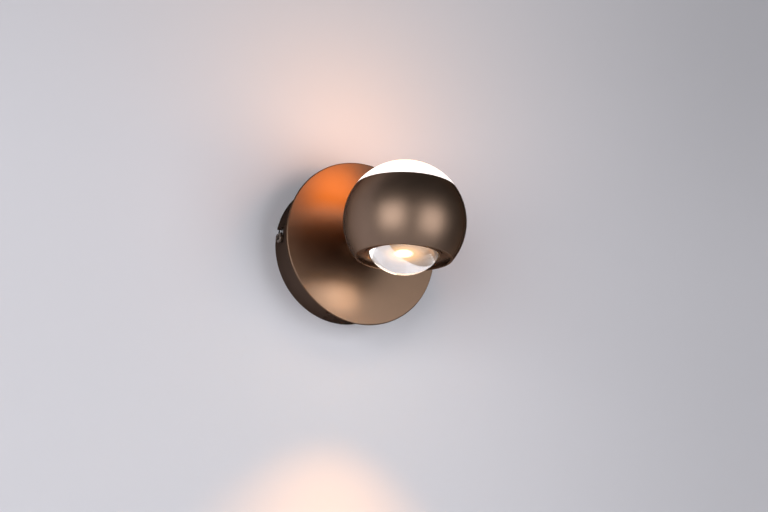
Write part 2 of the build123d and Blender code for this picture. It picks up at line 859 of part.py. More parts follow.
def lug_angles():
    """The directions of the lugs that carry the heat sink."""
    return [lug_first_deg + 360 * i / lug_count for i in range(lug_count)]


def ball_band():
    """The painted ball, open above and below, with a floor, three lugs and a boss at its back."""
    band = revolve(ball_outline(), Axis.Z)
    rims = band.edges().filter_by(GeomType.CIRCLE).group_by(Axis.Z)
    outer_rims = [max(level, key=lambda edge: edge.radius) for level in (rims[0], rims[-1])]
    band = chamfer(outer_rims, rim_edge)
    within = Sphere(ball_r - ball_wall / 2)
    for angle in lug_angles():
        lug = block(lug_in_r, ball_r, -lug_w / 2, lug_w / 2, plate_low - lug_h, plate_low)
        band += Rot(0, 0, angle) * lug & within
    band += bar_y(back_boss_r, 0, boss_y, ball_r, 0) & within
    hole = disc(m3_d / 2 + thread_clear, plate_low - lug_h + lug_floor, plate_low + cut_over)
    for angle in lug_angles():
        band -= Rot(0, 0, angle) * at(plate_screw_r, 0, 0, hole)
    band -= block(-ball_r, ball_r, pad_y, ball_r + cut_over, -ball_r, ball_r)
    band -= bar_y(nipple_r + nipple_run, 0, boss_y - cut_over, ball_r + cut_over, 0)
    band -= bar_y(stop_pin_d / 2, 0, boss_y - cut_over, boss_y + stop_pin_in, -stop_pin_at)
    return band


def stop_pin():
    """The pin in the boss that the stop washer's finger meets."""
    return bar_y(stop_pin_d / 2, 0, boss_y - stop_pin_out, boss_y + stop_pin_in, -stop_pin_at)


def top_dome():
    """The frosted dome that completes the ball, with a skirt and hooks inside the band."""
    skirt_r = top_in_r - dome_fit
    skirt_in_r = skirt_r - dome_skirt_t
    inner_r = ball_r - dome_wall
    skirt_top = ball_half(inner_r, skirt_in_r)
    skirt_low = band_up - dome_skirt_h
    outer = sphere_arc(ball_r, top_out_r, band_up, 0, ball_r)
    pole = Line((0, 0, ball_r), (0, 0, inner_r))
    inner = sphere_arc(inner_r, 0, inner_r, skirt_in_r, skirt_top)
    skirt = Polyline((skirt_in_r, 0, skirt_top), (skirt_in_r, 0, skirt_low), (skirt_r, 0, skirt_low),
                     (skirt_r, 0, band_up), (top_out_r, 0, band_up))
    dome = revolve(make_face([outer, pole, inner, skirt]), Axis.Z)
    hook = block(skirt_r - dome_skirt_t / 2, skirt_r + dome_hook_out, -dome_hook_w / 2,
                 dome_hook_w / 2, skirt_low, skirt_low + dome_hook_h)
    hook = chamfer(hook.edges().filter_by(Axis.Y).group_by(Axis.X)[-1], dome_hook_bevel)
    for angle in lug_angles():
        dome += Rot(0, 0, angle + 180 / lug_count) * hook
    return dome


def lens_gasket():
    """The soft ring between the floor and the lens."""
    outer = flange_r
    return tube(outer, outer - gasket_w, floor_top, flange_low)


def down_lens():
    """The clear lens: a flange, a short round body and a dome that stands out below."""
    centre = lens_base - lens_sag + lens_ball_r
    side = math.atan2(lens_base - centre, lens_r) / 2 - math.pi / 4
    bulge = (lens_ball_r * math.cos(side), 0, centre + lens_ball_r * math.sin(side))
    dome = ThreePointArc((lens_r, 0, lens_base), bulge, (0, 0, lens_base - lens_sag))
    rest = Polyline((0, 0, lens_base - lens_sag), (0, 0, flange_top), (flange_r, 0, flange_top),
                    (flange_r, 0, flange_low), (lens_r, 0, flange_low), (lens_r, 0, lens_base))
    return revolve(make_face([dome, rest]), Axis.Z)


def reflector_cup():
    """The bright dish round the chip, with a skirt that presses the lens on its gasket."""
    outer = flange_r - cup_play
    inner = outer - cup_skirt_t
    mouth_z = flange_top + cup_rise
    return lathe((outer, flange_top), (outer, -plate_high), (inner, -plate_high),
                 (inner, flange_top + cup_root), (cup_mouth_r, mouth_z + cup_wall),
                 (cup_mouth_r, mouth_z), (inner, flange_top))


def cob_holder():
    """The plastic plate that clamps the chip's board under the heat sink."""
    plate = disc(holder_d / 2, holder_low, -plate_high)
    half = cob_board_w / 2 + holder_play
    plate -= block(-half, half, -half, half, -plate_high - cob_board_t - holder_board_play, 0)
    plate -= disc(holder_mouth_d / 2, holder_low - cut_over, 0)
    for side in (-1, 1):
        plate -= at(side * holder_screw_x, 0, 0,
                    disc(m25_d / 2 + pass_clear, holder_low - cut_over, 0))
        plate -= at(side * holder_screw_x, 0, 0,
                    disc(m25_head_d / 2 + pass_clear, holder_low - cut_over, holder_seat))
    for x, y in (down_hole_a, down_hole_b):
        plate -= at(x, y, 0, disc(led_lead_d / 2 + lead_clear, -plate_high - holder_relief, 0))
    return plate


def cob_holder_screws():
    """The two screws of the holder, up into the heat sink's lower plate."""
    one = Rot(180, 0, 0) * screw(m25_d, holder_screw_len, m25_head_d, m25_head_h)
    return [at(side * holder_screw_x, 0, holder_seat, one) for side in (-1, 1)]


def down_led_board():
    """The small square board that carries the chip of the lower light."""
    half = cob_board_w / 2
    return block(-half, half, -half, half, -plate_high - cob_board_t, -plate_high)


def down_led_chip():
    """The round lit face of the lower light."""
    board_low = -plate_high - cob_board_t
    return disc(cob_chip_d / 2, board_low - cob_chip_h, board_low)


def heat_sink():
    """Two plates on a column with fins, which carry the two lights and cool them."""
    sink = disc(up_plate_r, plate_low, plate_high)
    sink -= block(-ball_r, ball_r, plate_back_y, ball_r, plate_low - cut_over,
                  plate_high + cut_over)
    sink += disc(low_plate_r, -plate_high, -plate_low)
    core_end = plate_low + sink_joint
    sink += at(0, core_y, 0, disc(core_r, -core_end, core_end))
    for i in range(fin_count):
        angle = 180 + 180 * i / (fin_count - 1)
        fin = block(core_r - fin_root, fin_r - abs(core_y), -fin_t / 2, fin_t / 2, -core_end,
                    core_end)
        sink += at(0, core_y, 0, Rot(0, 0, angle) * fin)
    for angle in lug_angles():
        hole = disc(m3_d / 2 + pass_clear, plate_low - cut_over, plate_high + cut_over)
        sink -= Rot(0, 0, angle) * at(plate_screw_r, 0, 0, hole)
    for x, y in (up_hole_a, up_hole_b):
        sink -= at(x, y, 0, disc(lead_hole_d / 2, plate_low - cut_over, plate_high + cut_over))
    for x, y in (down_hole_a, down_hole_b):
        sink -= at(x, y, 0, disc(lead_hole_d / 2, -plate_high - cut_over, -plate_low + cut_over))
    for side in (-1, 1):
        up_hole = disc(m3_d / 2 + thread_clear, plate_high - up_board_screw_len,
                       plate_high + cut_over)
        sink -= at(side * up_board_screw_x, 0, 0, up_hole)
        down_hole = disc(m25_d / 2 + thread_clear, -plate_high - cut_over,
                         -plate_low + sink_joint)
        sink -= at(side * holder_screw_x, 0, 0, down_hole)
    return sink


def heat_sink_screws():
    """The three screws down through the upper plate into the ball's lugs."""
    length = plate_t + lug_h - lug_floor - screw_end_gap
    one = at(plate_screw_r, 0, plate_high, screw(m3_d, length, m3_head_d, m3_head_h))
    return [Rot(0, 0, angle) * one for angle in lug_angles()]


def up_led_board():
    """The round board of the upper light."""
    top = plate_high + up_board_t
    board = disc(up_board_d / 2, plate_high, top)
    screw_hole = disc(m3_d / 2 + pass_clear, plate_high - cut_over, top + cut_over)
    lead_hole = disc(led_lead_d / 2 + lead_clear, plate_high - cut_over, top + cut_over)
    for side in (-1, 1):
        board -= at(side * up_board_screw_x, 0, 0, screw_hole)
    for x, y in (up_hole_a, up_hole_b):
        board -= at(x, y, 0, lead_hole)
    return board


def up_leds():
    """The ring of small lights on the upper board."""
    top = plate_high + up_board_t
    one = block(up_led_ring_r - up_led_l / 2, up_led_ring_r + up_led_l / 2, -up_led_w / 2,
                up_led_w / 2, top, top + up_led_h)
    return [Rot(0, 0, 360 * (i + 0.5) / up_led_count) * one for i in range(up_led_count)]


def up_board_screws():
    """The two screws of the upper board."""
    top = plate_high + up_board_t
    length = up_board_t + up_board_screw_len - screw_end_gap
    one = screw(m3_d, length, m3_head_d, m3_head_h)
    return [at(side * up_board_screw_x, 0, top, one) for side in (-1, 1)]


# Inner wires: their points are chosen by hand, in the frame of the canopy or of the head


def canopy_leads():
    """The five wires in the canopy."""
    live = [(-27.4, 18.5, 20.0), (-34.5, 18.6, 20.2), (-40.5, 15.0, 20.6), (-42.5, 7.0, 21.4),
            (-39.0, -3.0, 22.8), (-28.0, -8.6, 24.6), (-16.0, -8.0, 26.0), (-10.4, -13.3, 26.1),
            (-10.0, -21.5, 26.0)]
    neutral = [(-27.4, 15.0, 20.0), (-33.0, 14.8, 19.9), (-38.0, 11.0, 19.6), (-38.5, 3.0, 19.4),
               (-33.0, -4.5, 19.4), (-23.5, -9.0, 19.8), (-12.0, -9.6, 21.0), (-3.4, -10.6, 24.2),
               (0.0, -15.0, 25.8), (0.1, -22.5, 26.0)]
    earth = [(10.0, -22.0, 26.0), (10.2, -14.5, 26.0), (14.8, -9.2, 27.5), (24.5, -9.0, 27.6)]
    plus = [(27.4, 18.5, 20.0), (34.0, 18.4, 19.8), (39.0, 14.6, 18.9), (40.0, 6.5, 17.2),
            (33.5, -1.2, 14.6), (21.0, -3.4, 12.0), (9.0, -2.3, 10.3), (0.6, -1.1, 14.6),
            (0.0, -1.0, lead_split_z)]
    minus = [(27.4, 15.0, 20.0), (32.5, 14.8, 19.6), (36.2, 11.2, 18.4), (35.6, 5.0, 16.4),
             (29.0, 2.2, 13.6), (20.0, 1.9, 11.4), (9.0, 2.3, 10.3), (0.6, 1.1, 14.6),
             (0.0, 1.0, lead_split_z)]
    return {
        "live_lead": lead("live_lead", live, mains_lead_d),
        "neutral_lead": lead("neutral_lead", neutral, mains_lead_d),
        "earth_lead": lead("earth_lead", earth, mains_lead_d),
        "led_plus_lead": lead("led_plus_lead", plus, led_lead_d),
        "led_minus_lead": lead("led_minus_lead", minus, led_lead_d),
    }


def head_leads():
    """The three wires in the head."""
    split_y = head_out - lead_split_z - lead_end_gap
    plus = [(0.0, split_y, -1.0), (-0.4, 20.5, -1.5), (-4.6, 16.6, -5.0), (-6.0, 17.0, -13.4)]
    minus = [(0.0, split_y, 1.0), (0.4, 20.5, 1.5), (4.6, 16.6, 5.0), (6.0, 17.0, 13.5)]
    link = [(-8.0, 14.5, 13.5), (-7.6, 13.6, 6.5), (-3.6, 11.8, 1.0), (3.8, 11.8, -1.6),
            (7.6, 13.6, -6.5), (8.0, 14.5, -13.4)]
    return {
        "head_plus_lead": lead("head_plus_lead", plus, led_lead_d),
        "head_minus_lead": lead("head_minus_lead", minus, led_lead_d),
        "head_link_lead": lead("head_link_lead", link, led_lead_d),
    }


def save(name, shape):
    """Write one node: a single solid, or a group of separate solids."""
    if isinstance(shape, list):
        solids = [solid for piece in shape for solid in piece.solids()]
    else:
        solids = shape.solids()
    whole = solids[0] if len(solids) == 1 else Compound(solids)
    export_step(whole, f"parts/{name}.step")


def placed(move, shape):
    """A piece or a list of pieces, moved into the frame of the light."""
    if isinstance(shape, list):
        return [move(piece) for piece in shape]
    return move(shape)


def main():
    """Build every node and write it."""
    os.makedirs("parts", exist_ok=True)
    lying = [wall_bracket, bracket_side_screws, bracket_earth_washer, bracket_earth_screw,
             canopy_drum, front_disc, disc_set_screws, hollow_nipple, canopy_washer,
             canopy_locknut, arm_sleeve, outer_friction_washer, inner_friction_washer, stop_washer,
             disc_spring, swivel_locknut, wire_sleeve, driver_case, driver_lid, driver_board,
             driver_parts, driver_screws, terminal_block, terminal_clamps, terminal_screws,
             terminal_fixing_screws, earth_tag, earth_tag_screw]
    upright = [ball_band, stop_pin, top_dome, lens_gasket, down_lens, reflector_cup, cob_holder,
               cob_holder_screws, down_led_board, down_led_chip, heat_sink, heat_sink_screws,
               up_led_board, up_leds, up_board_screws]
    nodes = {}
    for make in lying:
        shape = make()
        nodes[make.__name__] = placed(stand_up, shape)
    for make in upright:
        shape = make()
        nodes[make.__name__] = placed(hang_out, shape)
    for name, wire in canopy_leads().items():
        nodes[name] = stand_up(wire)
    for name, wire in head_leads().items():
        nodes[name] = hang_out(wire)
    for name, shape in nodes.items():
        save(name, shape)


main()
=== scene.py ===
"""The looks of an up and down wall light: a painted ball on a short arm before a round canopy.

Everything is in metres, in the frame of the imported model: +Z is up, +X is to the right of someone
facing the wall, and the wall is the plane y = 0, with the light standing out towards -Y.
"""

import json
import logging
import math
from dataclasses import dataclass, field
from enum import Enum

import bmesh
import bpy
from mathutils import Matrix, Vector


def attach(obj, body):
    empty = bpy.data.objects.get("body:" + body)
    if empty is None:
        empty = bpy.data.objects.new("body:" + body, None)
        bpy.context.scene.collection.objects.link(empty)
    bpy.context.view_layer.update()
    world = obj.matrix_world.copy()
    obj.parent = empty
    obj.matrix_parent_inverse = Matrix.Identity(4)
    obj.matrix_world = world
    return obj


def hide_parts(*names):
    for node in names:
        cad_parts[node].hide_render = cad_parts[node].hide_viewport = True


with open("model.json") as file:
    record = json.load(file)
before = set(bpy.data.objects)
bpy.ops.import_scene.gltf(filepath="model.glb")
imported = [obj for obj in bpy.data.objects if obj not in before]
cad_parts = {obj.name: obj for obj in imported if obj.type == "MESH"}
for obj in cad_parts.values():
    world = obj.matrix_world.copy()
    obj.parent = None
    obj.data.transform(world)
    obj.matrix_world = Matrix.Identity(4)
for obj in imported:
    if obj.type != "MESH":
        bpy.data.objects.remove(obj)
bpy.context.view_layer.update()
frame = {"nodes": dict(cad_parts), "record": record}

log = logging.getLogger("wall_light")

Colour = tuple[float, float, float]
Point = tuple[float, float, float]

MM = 0.001
# Where the ball's middle lies, in front of the wall
BALL_Y = -95.2 * MM
# Edges that bend by more than this stay sharp
SHARP_FROM = math.radians(38.0)
# Points nearer than this to each other are joined
SEAM = 0.001 * MM
SEED = 7
BLACK: Colour = (0.0, 0.0, 0.0)
# The attributes that hold the place round a wire, and the way that a point faces
AROUND = "around"
FACING = "facing"


def linear(red: float, green: float, blue: float) -> Colour:
    """Turn a screen colour into the linear one that a shader takes.

    Args:
        red: the red level, 0 to 255.
        green: the green level, 0 to 255.
        blue: the blue level, 0 to 255.

    Returns:
        The three linear levels, 0 to 1.
    """
    def level(value: float) -> float:
        """Turn one level."""
        share = value / 255
        return share / 12.92 if share <= 0.04045 else ((share + 0.055) / 1.055) ** 2.4
    return level(red), level(green), level(blue)


def rgba(colour: Colour) -> tuple[float, float, float, float]:
    """Add a full alpha to a colour."""
    return (*colour, 1.0)


def shade(colour: Colour, by: float) -> Colour:
    """Make a colour darker or lighter, by a factor."""
    return tuple(min(1.0, level * by) for level in colour)


def put_in_scene(name: str, data: bpy.types.ID) -> bpy.types.Object:
    """Make an object and link it to the scene.

    Args:
        name: what the object is called.
        data: its mesh, curve, lamp or camera.

    Returns:
        The object.
    """
    made = bpy.data.objects.new(name, data)
    bpy.context.scene.collection.objects.link(made)
    return made


# Shader nodes


class Signal:
    """One output socket of a tree, with the operators of plain maths on values."""

    def __init__(self, nodes: "Nodes", socket: bpy.types.NodeSocket) -> None:
        """Wrap a socket of a node tree."""
        self.nodes = nodes
        self.socket = socket

    def maths(self, operation: str, *others: "Signal | float") -> "Signal":
        """Add a Math node that starts from this value.

        Args:
            operation: the Math node's operation.
            others: its further values or signals.

        Returns:
            The Math node's output.
        """
        return self.nodes.node("ShaderNodeMath", {"operation": operation},
                               dict(enumerate((self, *others))))

    def __add__(self, other: "Signal | float") -> "Signal":
        """Add another value."""
        return self.maths("ADD", other)

    __radd__ = __add__

    def __mul__(self, other: "Signal | float") -> "Signal":
        """Multiply by another value."""
        return self.maths("MULTIPLY", other)

    __rmul__ = __mul__

    def __sub__(self, other: "Signal | float") -> "Signal":
        """Take another value away."""
        return self.maths("SUBTRACT", other)

    def __rsub__(self, other: float) -> "Signal":
        """Take this value away from a number."""
        return (self * -1.0) + other

    def __truediv__(self, other: "Signal | float") -> "Signal":
        """Divide by another value."""
        return self.maths("DIVIDE", other)

    def __rtruediv__(self, other: float) -> "Signal":
        """Divide a number by this value."""
        return self.maths("POWER", -1.0) * other

    def between(self, low: float, high: float) -> "Signal":
        """Rise smoothly from 0 at low to 1 at high.

        Args:
            low: the value that gives 0.
            high: the value that gives 1.

        Returns:
            The smooth step.
        """
        return self.nodes.node("ShaderNodeMapRange", {"interpolation_type": "SMOOTHSTEP"},
                               {"Value": self, "From Min": low, "From Max": high})


class Nodes:
    """A tree of nodes, for a material or for a shape."""

    tree: bpy.types.NodeTree

    def node(self, kind: str, settings: dict | None = None, sockets: dict | None = None,
             output: int | str = 0) -> Signal:
        """Add any node.

        Args:
            kind: the node's type.
            settings: its properties, set before its sockets. "bends" gives the points of a curve.
            sockets: values or signals for its sockets, by name or by number.
            output: the output to return.

        Returns:
            That output.
        """
        made = self.tree.nodes.new(kind)
        for name, value in (settings or {}).items():
            if name == "bends":
                self._set_bends(made.mapping, value)
            else:
                setattr(made, name, value)
        for name, value in (sockets or {}).items():
            self._feed(made.inputs[name], value)
        return Signal(self, made.outputs[output])

    def _set_bends(self, mapping: bpy.types.CurveMapping, bends: list[tuple[float, float]]) -> None:
        """Give a curve its points, with straight lines between them.

        Args:
            mapping: the curve.
            bends: the points, from left to right.
        """
        points = mapping.curves[0].points
        while len(points) < len(bends):
            points.new(0.5, 0.5)
        for point, place in zip(points, bends):
            point.location = place
            point.handle_type = "VECTOR"
        mapping.update()

    def _feed(self, socket: bpy.types.NodeSocket, value: object) -> None:
        """Link a signal to a socket, or set the socket's own value.

        Args:
            socket: the socket.
            value: a signal, a number, a place or a colour.
        """
        if isinstance(value, Signal):
            self.tree.links.new(value.socket, socket)
        elif isinstance(value, tuple) and len(value) == 3 and socket.type == "RGBA":
            socket.default_value = rgba(value)
        else:
            socket.default_value = value

    def mix(self, share: Signal | float, first: object, second: object) -> Signal:
        """Mix two colours."""
        return self.node("ShaderNodeMix", {"data_type": "RGBA"}, {0: share, 6: first, 7: second},
                         output=2)

    def axis(self, where: Signal, name: str) -> Signal:
        """Give one of the three numbers of a place."""
        return self.node("ShaderNodeSeparateXYZ", None, {0: where}, output=name)

    def joined(self, x: Signal | float = 0.0, y: Signal | float = 0.0,
               z: Signal | float = 0.0) -> Signal:
        """Join three numbers to a place, a size or a turn."""
        return self.node("ShaderNodeCombineXYZ", None, {"X": x, "Y": y, "Z": z})


class Paint(Nodes):
    """The nodes of one material, built round a Principled shader."""

    def __init__(self, name: str) -> None:
        """Make an empty material with a Principled shader.

        Args:
            name: what the material is called.
        """
        self.material = bpy.data.materials.new(name)
        self.material.use_nodes = True
        self.tree = self.material.node_tree
        self.tree.nodes.clear()
        self.shader = self.tree.nodes.new("ShaderNodeBsdfPrincipled")
        self.output = self.tree.nodes.new("ShaderNodeOutputMaterial")
        self.tree.links.new(self.shader.outputs[0], self.output.inputs["Surface"])

    def set(self, **sockets: object) -> None:
        """Set the Principled shader's sockets, with _ for a space in a name."""
        for name, value in sockets.items():
            self._feed(self.shader.inputs[name.replace("_", " ")], value)

    def place(self, turn: Point = (0.0, 0.0, 0.0), scale: Point = (1.0, 1.0, 1.0),
              move: Point = (0.0, 0.0, 0.0)) -> Signal:
        """Give the piece's own coordinates, moved, turned and scaled."""
        here = self.node("ShaderNodeTexCoord", output="Object")
        return self.node("ShaderNodeMapping", None,
                         {"Vector": here, "Location": move, "Rotation": turn, "Scale": scale})

    def noise(self, where: Signal, size: float, detail: float = 2.0, rough: float = 0.5) -> Signal:
        """Give a noise whose lumps are about one size.

        Args:
            where: the coordinates.
            size: the size of the lumps, in metres.
            detail: how many finer layers it has.
            rough: how strong the finer layers are.

        Returns:
            The noise, from 0 to 1.
        """
        return self.node("ShaderNodeTexNoise", None,
                         {"Vector": where, "Scale": 1.0 / size, "Detail": detail,
                          "Roughness": rough})

    def from_axis(self, axis_y: float) -> Signal:
        """Give the distance from an upright axis in the plane x = 0."""
        flat = self.node("ShaderNodeVectorMath", {"operation": "MULTIPLY"},
                         {0: self.place(move=(0.0, -axis_y, 0.0)), 1: (1.0, 1.0, 0.0)})
        return self.node("ShaderNodeVectorMath", {"operation": "LENGTH"}, {0: flat},
                         output="Value")

    def bump(self, height: Signal, depth: float, strength: float = 1.0) -> Signal:
        """Turn a height into a normal.

        Args:
            height: the height, from 0 to 1.
            depth: what a height of 1 stands for, in metres.
            strength: how much of it shows.

        Returns:
            The normal.
        """
        return self.node("ShaderNodeBump", None,
                         {"Height": height, "Distance": depth, "Strength": strength})


# Finishes


@dataclass(frozen=True)
class Finish:
    """What every finish has. A child class says how its nodes make it."""

    colour: Colour

    def build(self, name: str) -> bpy.types.Material:
        """Make the material.

        Args:
            name: what the material is called.

        Returns:
            The material.
        """
        nodes = Paint(name)
        self.dress(nodes)
        return nodes.material

    def dress(self, nodes: Paint) -> None:
        """Set up the shader."""
        raise NotImplementedError


@dataclass(frozen=True)
class BronzePaint(Finish):
    """Satin bronze-brown paint with fine metal flake."""

    flake: float = 0.35 * MM
    cloud: float = 9.0 * MM
    swing: float = 0.12
    roughness: float = 0.42
    edge_tint: Colour = BLACK

    def dress(self, nodes: Paint) -> None:
        """Vary the colour and the sheen a little, at the size of the flake and of the spray.

        Args:
            nodes: the material's nodes.
        """
        where = nodes.place()
        flake = nodes.noise(where, self.flake, detail=3.0, rough=0.7)
        cloud = nodes.noise(where, self.cloud)
        darker, lighter = (shade(self.colour, 1 + side * self.swing) for side in (-1, 1))
        nodes.set(Base_Color=nodes.mix(flake * 0.6 + cloud * 0.4, darker, lighter),
                  Metallic=1.0,
                  Roughness=flake * 0.06 + cloud * 0.04 + (self.roughness - 0.05),
                  Specular_Tint=rgba(self.edge_tint),
                  Normal=nodes.bump(flake, 0.02 * MM, 0.25))


@dataclass(frozen=True)
class PlatedSteel(Finish):
    """Plated sheet or turned steel, drawn one way."""

    roughness: float = 0.3
    grain: float = 2.5 * MM
    stretch: Point = (1.0, 14.0, 14.0)
    cloud: float = 6.0 * MM
    darkest: float = 0.8

    def dress(self, nodes: Paint) -> None:
        """Draw the grain along one axis and cloud the plating.

        Args:
            nodes: the material's nodes.
        """
        drawn = nodes.noise(nodes.place(scale=self.stretch), self.grain, detail=4.0, rough=0.6)
        cloud = nodes.noise(nodes.place(), self.cloud, detail=3.0)
        nodes.set(Base_Color=nodes.mix(cloud * 0.7 + drawn * 0.3,
                                       shade(self.colour, self.darkest), self.colour),
                  Metallic=1.0,
                  Roughness=drawn * 0.16 + cloud * 0.08 + (self.roughness - 0.1),
                  Normal=nodes.bump(drawn, 0.02 * MM, 0.3))


@dataclass(frozen=True)
class CastMetal(Finish):
    """Cast aluminium with a fine grainy skin."""

    grain: float = 0.5 * MM
    darkest: float = 0.75

    def dress(self, nodes: Paint) -> None:
        """Add the grain of the mould.

        Args:
            nodes: the material's nodes.
        """
        grain = nodes.noise(nodes.place(), self.grain, detail=4.0, rough=0.65)
        nodes.set(Base_Color=nodes.mix(grain, shade(self.colour, self.darkest), self.colour),
                  Metallic=0.9, Roughness=grain * 0.2 + 0.38,
                  Normal=nodes.bump(grain, 0.05 * MM, 0.6))


@dataclass(frozen=True)
class MouldedPlastic(Finish):
    """Moulded plastic with the fine spark-eroded texture of its mould."""

    roughness: float = 0.45
    texture: float = 0.25 * MM
    flow: float = 12.0 * MM
    darkest: float = 0.9

    def dress(self, nodes: Paint) -> None:
        """Add the mould's texture and a faint flow of tone.

        Args:
            nodes: the material's nodes.
        """
        where = nodes.place()
        grain = nodes.noise(where, self.texture)
        flow = nodes.noise(where, self.flow, detail=1.0)
        nodes.set(Base_Color=nodes.mix(flow, shade(self.colour, self.darkest), self.colour),
                  Roughness=grain * 0.12 + flow * 0.06 + (self.roughness - 0.09),
                  Normal=nodes.bump(grain, 0.015 * MM, 0.4))


@dataclass(frozen=True)
class SoftRubber(Finish):
    """Silicone rubber with a dusty bloom."""

    bloom: float = 2.0 * MM
    lightest: float = 1.1

    def dress(self, nodes: Paint) -> None:
        """Add the bloom.

        Args:
            nodes: the material's nodes.
        """
        bloom = nodes.noise(nodes.place(), self.bloom, detail=4.0, rough=0.6)
        nodes.set(Base_Color=nodes.mix(bloom, self.colour, shade(self.colour, self.lightest)),
                  Roughness=bloom * 0.15 + 0.6, Sheen_Weight=0.3,
                  Normal=nodes.bump(bloom, 0.02 * MM, 0.3))


@dataclass(frozen=True)
class GlowingDome(Finish):
    """Frosted acrylic with the upper light behind it."""

    thin: Colour = (0.76, 0.75, 0.73)
    ring_glow: Colour = (1.0, 0.85, 0.76)
    edge_glow: Colour = (0.86, 0.76, 0.72)
    pole_glow: Colour = (0.52, 0.44, 0.40)
    strength: float = 1.3
    rim: float = 24.0 * MM
    ring: float = 33.0 * MM
    shoulder: float = 39.0 * MM
    top: float = 42.5 * MM
    mist: float = 1.2 * MM

    def dress(self, nodes: Paint) -> None:
        """Glow most in a ring, as the lights behind it stand in one.

        Args:
            nodes: the material's nodes.
        """
        where = nodes.place()
        mist = nodes.noise(where, self.mist)
        height = nodes.axis(where, "Z")
        ring = height.between(self.rim, self.ring) * (1.0 - height.between(self.ring, self.top))
        glow = nodes.mix(ring, self.edge_glow, self.ring_glow)
        glow = nodes.mix(height.between(self.shoulder, self.top), glow, self.pole_glow)
        nodes.set(Base_Color=nodes.mix(mist, self.thin, self.colour), Roughness=0.35,
                  Emission_Color=glow, Emission_Strength=self.strength,
                  Normal=nodes.bump(mist, 0.01 * MM, 0.2))


@dataclass(frozen=True)
class ClearAcrylic(Finish):
    """Polished clear acrylic, with a glow painted on its flat top where the chip's light enters it.

    The painted light is a bright core in a halo in a haze, each from a full radius out to a last
    one.
    """

    refraction: float = 1.49
    wave: float = 7.0 * MM
    axis_y: float = BALL_Y
    flat_top: float = -18.6 * MM
    edge: float = 0.1 * MM
    core: Colour = (1.0, 0.82, 0.55)
    core_reach: tuple[float, float] = (2.0 * MM, 5.5 * MM)
    halo: Colour = (1.0, 0.52, 0.17)
    halo_reach: tuple[float, float] = (3.0 * MM, 12.0 * MM)
    halo_share: float = 0.2
    haze: Colour = (1.0, 0.66, 0.42)
    haze_reach: tuple[float, float] = (6.0 * MM, 30.0 * MM)
    haze_share: float = 0.05
    strength: float = 3.0

    def dress(self, nodes: Paint) -> None:
        """Keep it clear, with the faint waves of a moulded lens, and paint a glow on its top.

        Args:
            nodes: the material's nodes.
        """
        where = nodes.place()
        wave = nodes.noise(where, self.wave, detail=1.0)
        on_top = nodes.axis(where, "Z").between(self.flat_top - self.edge, self.flat_top)
        out = nodes.from_axis(self.axis_y)
        core, halo, haze = (1.0 - out.between(*reach)
                            for reach in (self.core_reach, self.halo_reach, self.haze_reach))
        # painted light: a core, halo and haze of glow, emitted from the lens's flat top only
        glow = nodes.mix(haze * self.haze_share, BLACK, self.haze)
        glow = nodes.mix(halo * self.halo_share, glow, self.halo)
        glow = nodes.mix(core, glow, self.core)
        nodes.set(Base_Color=self.colour, Roughness=wave * 0.02, IOR=self.refraction,
                  Transmission_Weight=1.0, Normal=nodes.bump(wave, 0.02 * MM, 0.15),
                  Emission_Color=nodes.mix(on_top, BLACK, glow), Emission_Strength=self.strength)


@dataclass(frozen=True)
class BrightDish(Finish):
    """Vacuum-plated dish with a fine peened texture, with the chip's light painted on as a glow
    round its middle.
    """

    axis_y: float = BALL_Y
    facet: float = 1.4 * MM
    facet_tone: Colour = (0.8, 0.8, 0.8)
    glow: Colour = (1.0, 0.74, 0.46)
    dim_glow: Colour = (0.55, 0.36, 0.20)
    fade: tuple[float, float] = (6.0 * MM, 27.0 * MM)
    strength: float = 1.6

    def dress(self, nodes: Paint) -> None:
        """Add the small facets, and a painted glow for the light of the chip, which fades towards
        the rim.

        Args:
            nodes: the material's nodes.
        """
        facets = nodes.node("ShaderNodeTexVoronoi", {"feature": "SMOOTH_F1"},
                            {"Vector": nodes.place(), "Scale": 1.0 / self.facet})
        # painted light: the emission stands in for the chip's light on the dish, dimmer towards the
        # rim
        fade = nodes.from_axis(self.axis_y).between(*self.fade)
        nodes.set(Base_Color=nodes.mix(facets, self.colour, self.facet_tone), Metallic=1.0,
                  Roughness=facets * 0.1 + 0.14, Normal=nodes.bump(facets, 0.12 * MM, 0.7),
                  Emission_Color=nodes.mix(fade, self.glow, self.dim_glow),
                  Emission_Strength=self.strength)


@dataclass(frozen=True)
class CircuitBoard(Finish):
    """Solder mask over copper tracks."""

    track: float = 1.1 * MM
    track_length: float = 3.1
    gap: float = 0.22 * MM
    stagger: float = 0.37
    speckle: float = 0.6 * MM
    roughness: float = 0.35

    def dress(self, nodes: Paint) -> None:
        """Let the tracks show through the mask as paler, raised lines.

        Args:
            nodes: the material's nodes.
        """
        where = nodes.place()
        cells = nodes.node("ShaderNodeTexBrick", {"offset": self.stagger},
                           {"Vector": where, "Scale": 1.0, "Mortar Size": self.gap,
                            "Brick Width": self.track * self.track_length,
                            "Row Height": self.track}, output="Fac")
        speckle = nodes.noise(where, self.speckle, detail=3.0)
        paler = tuple(min(1.0, level * 1.25 + 0.02) for level in self.colour)
        nodes.set(Base_Color=nodes.mix(cells * 0.7 + speckle * 0.2, self.colour, paler),
                  Roughness=speckle * 0.15 + (self.roughness - 0.07),
                  Normal=nodes.bump(cells, 0.03 * MM, 0.5))


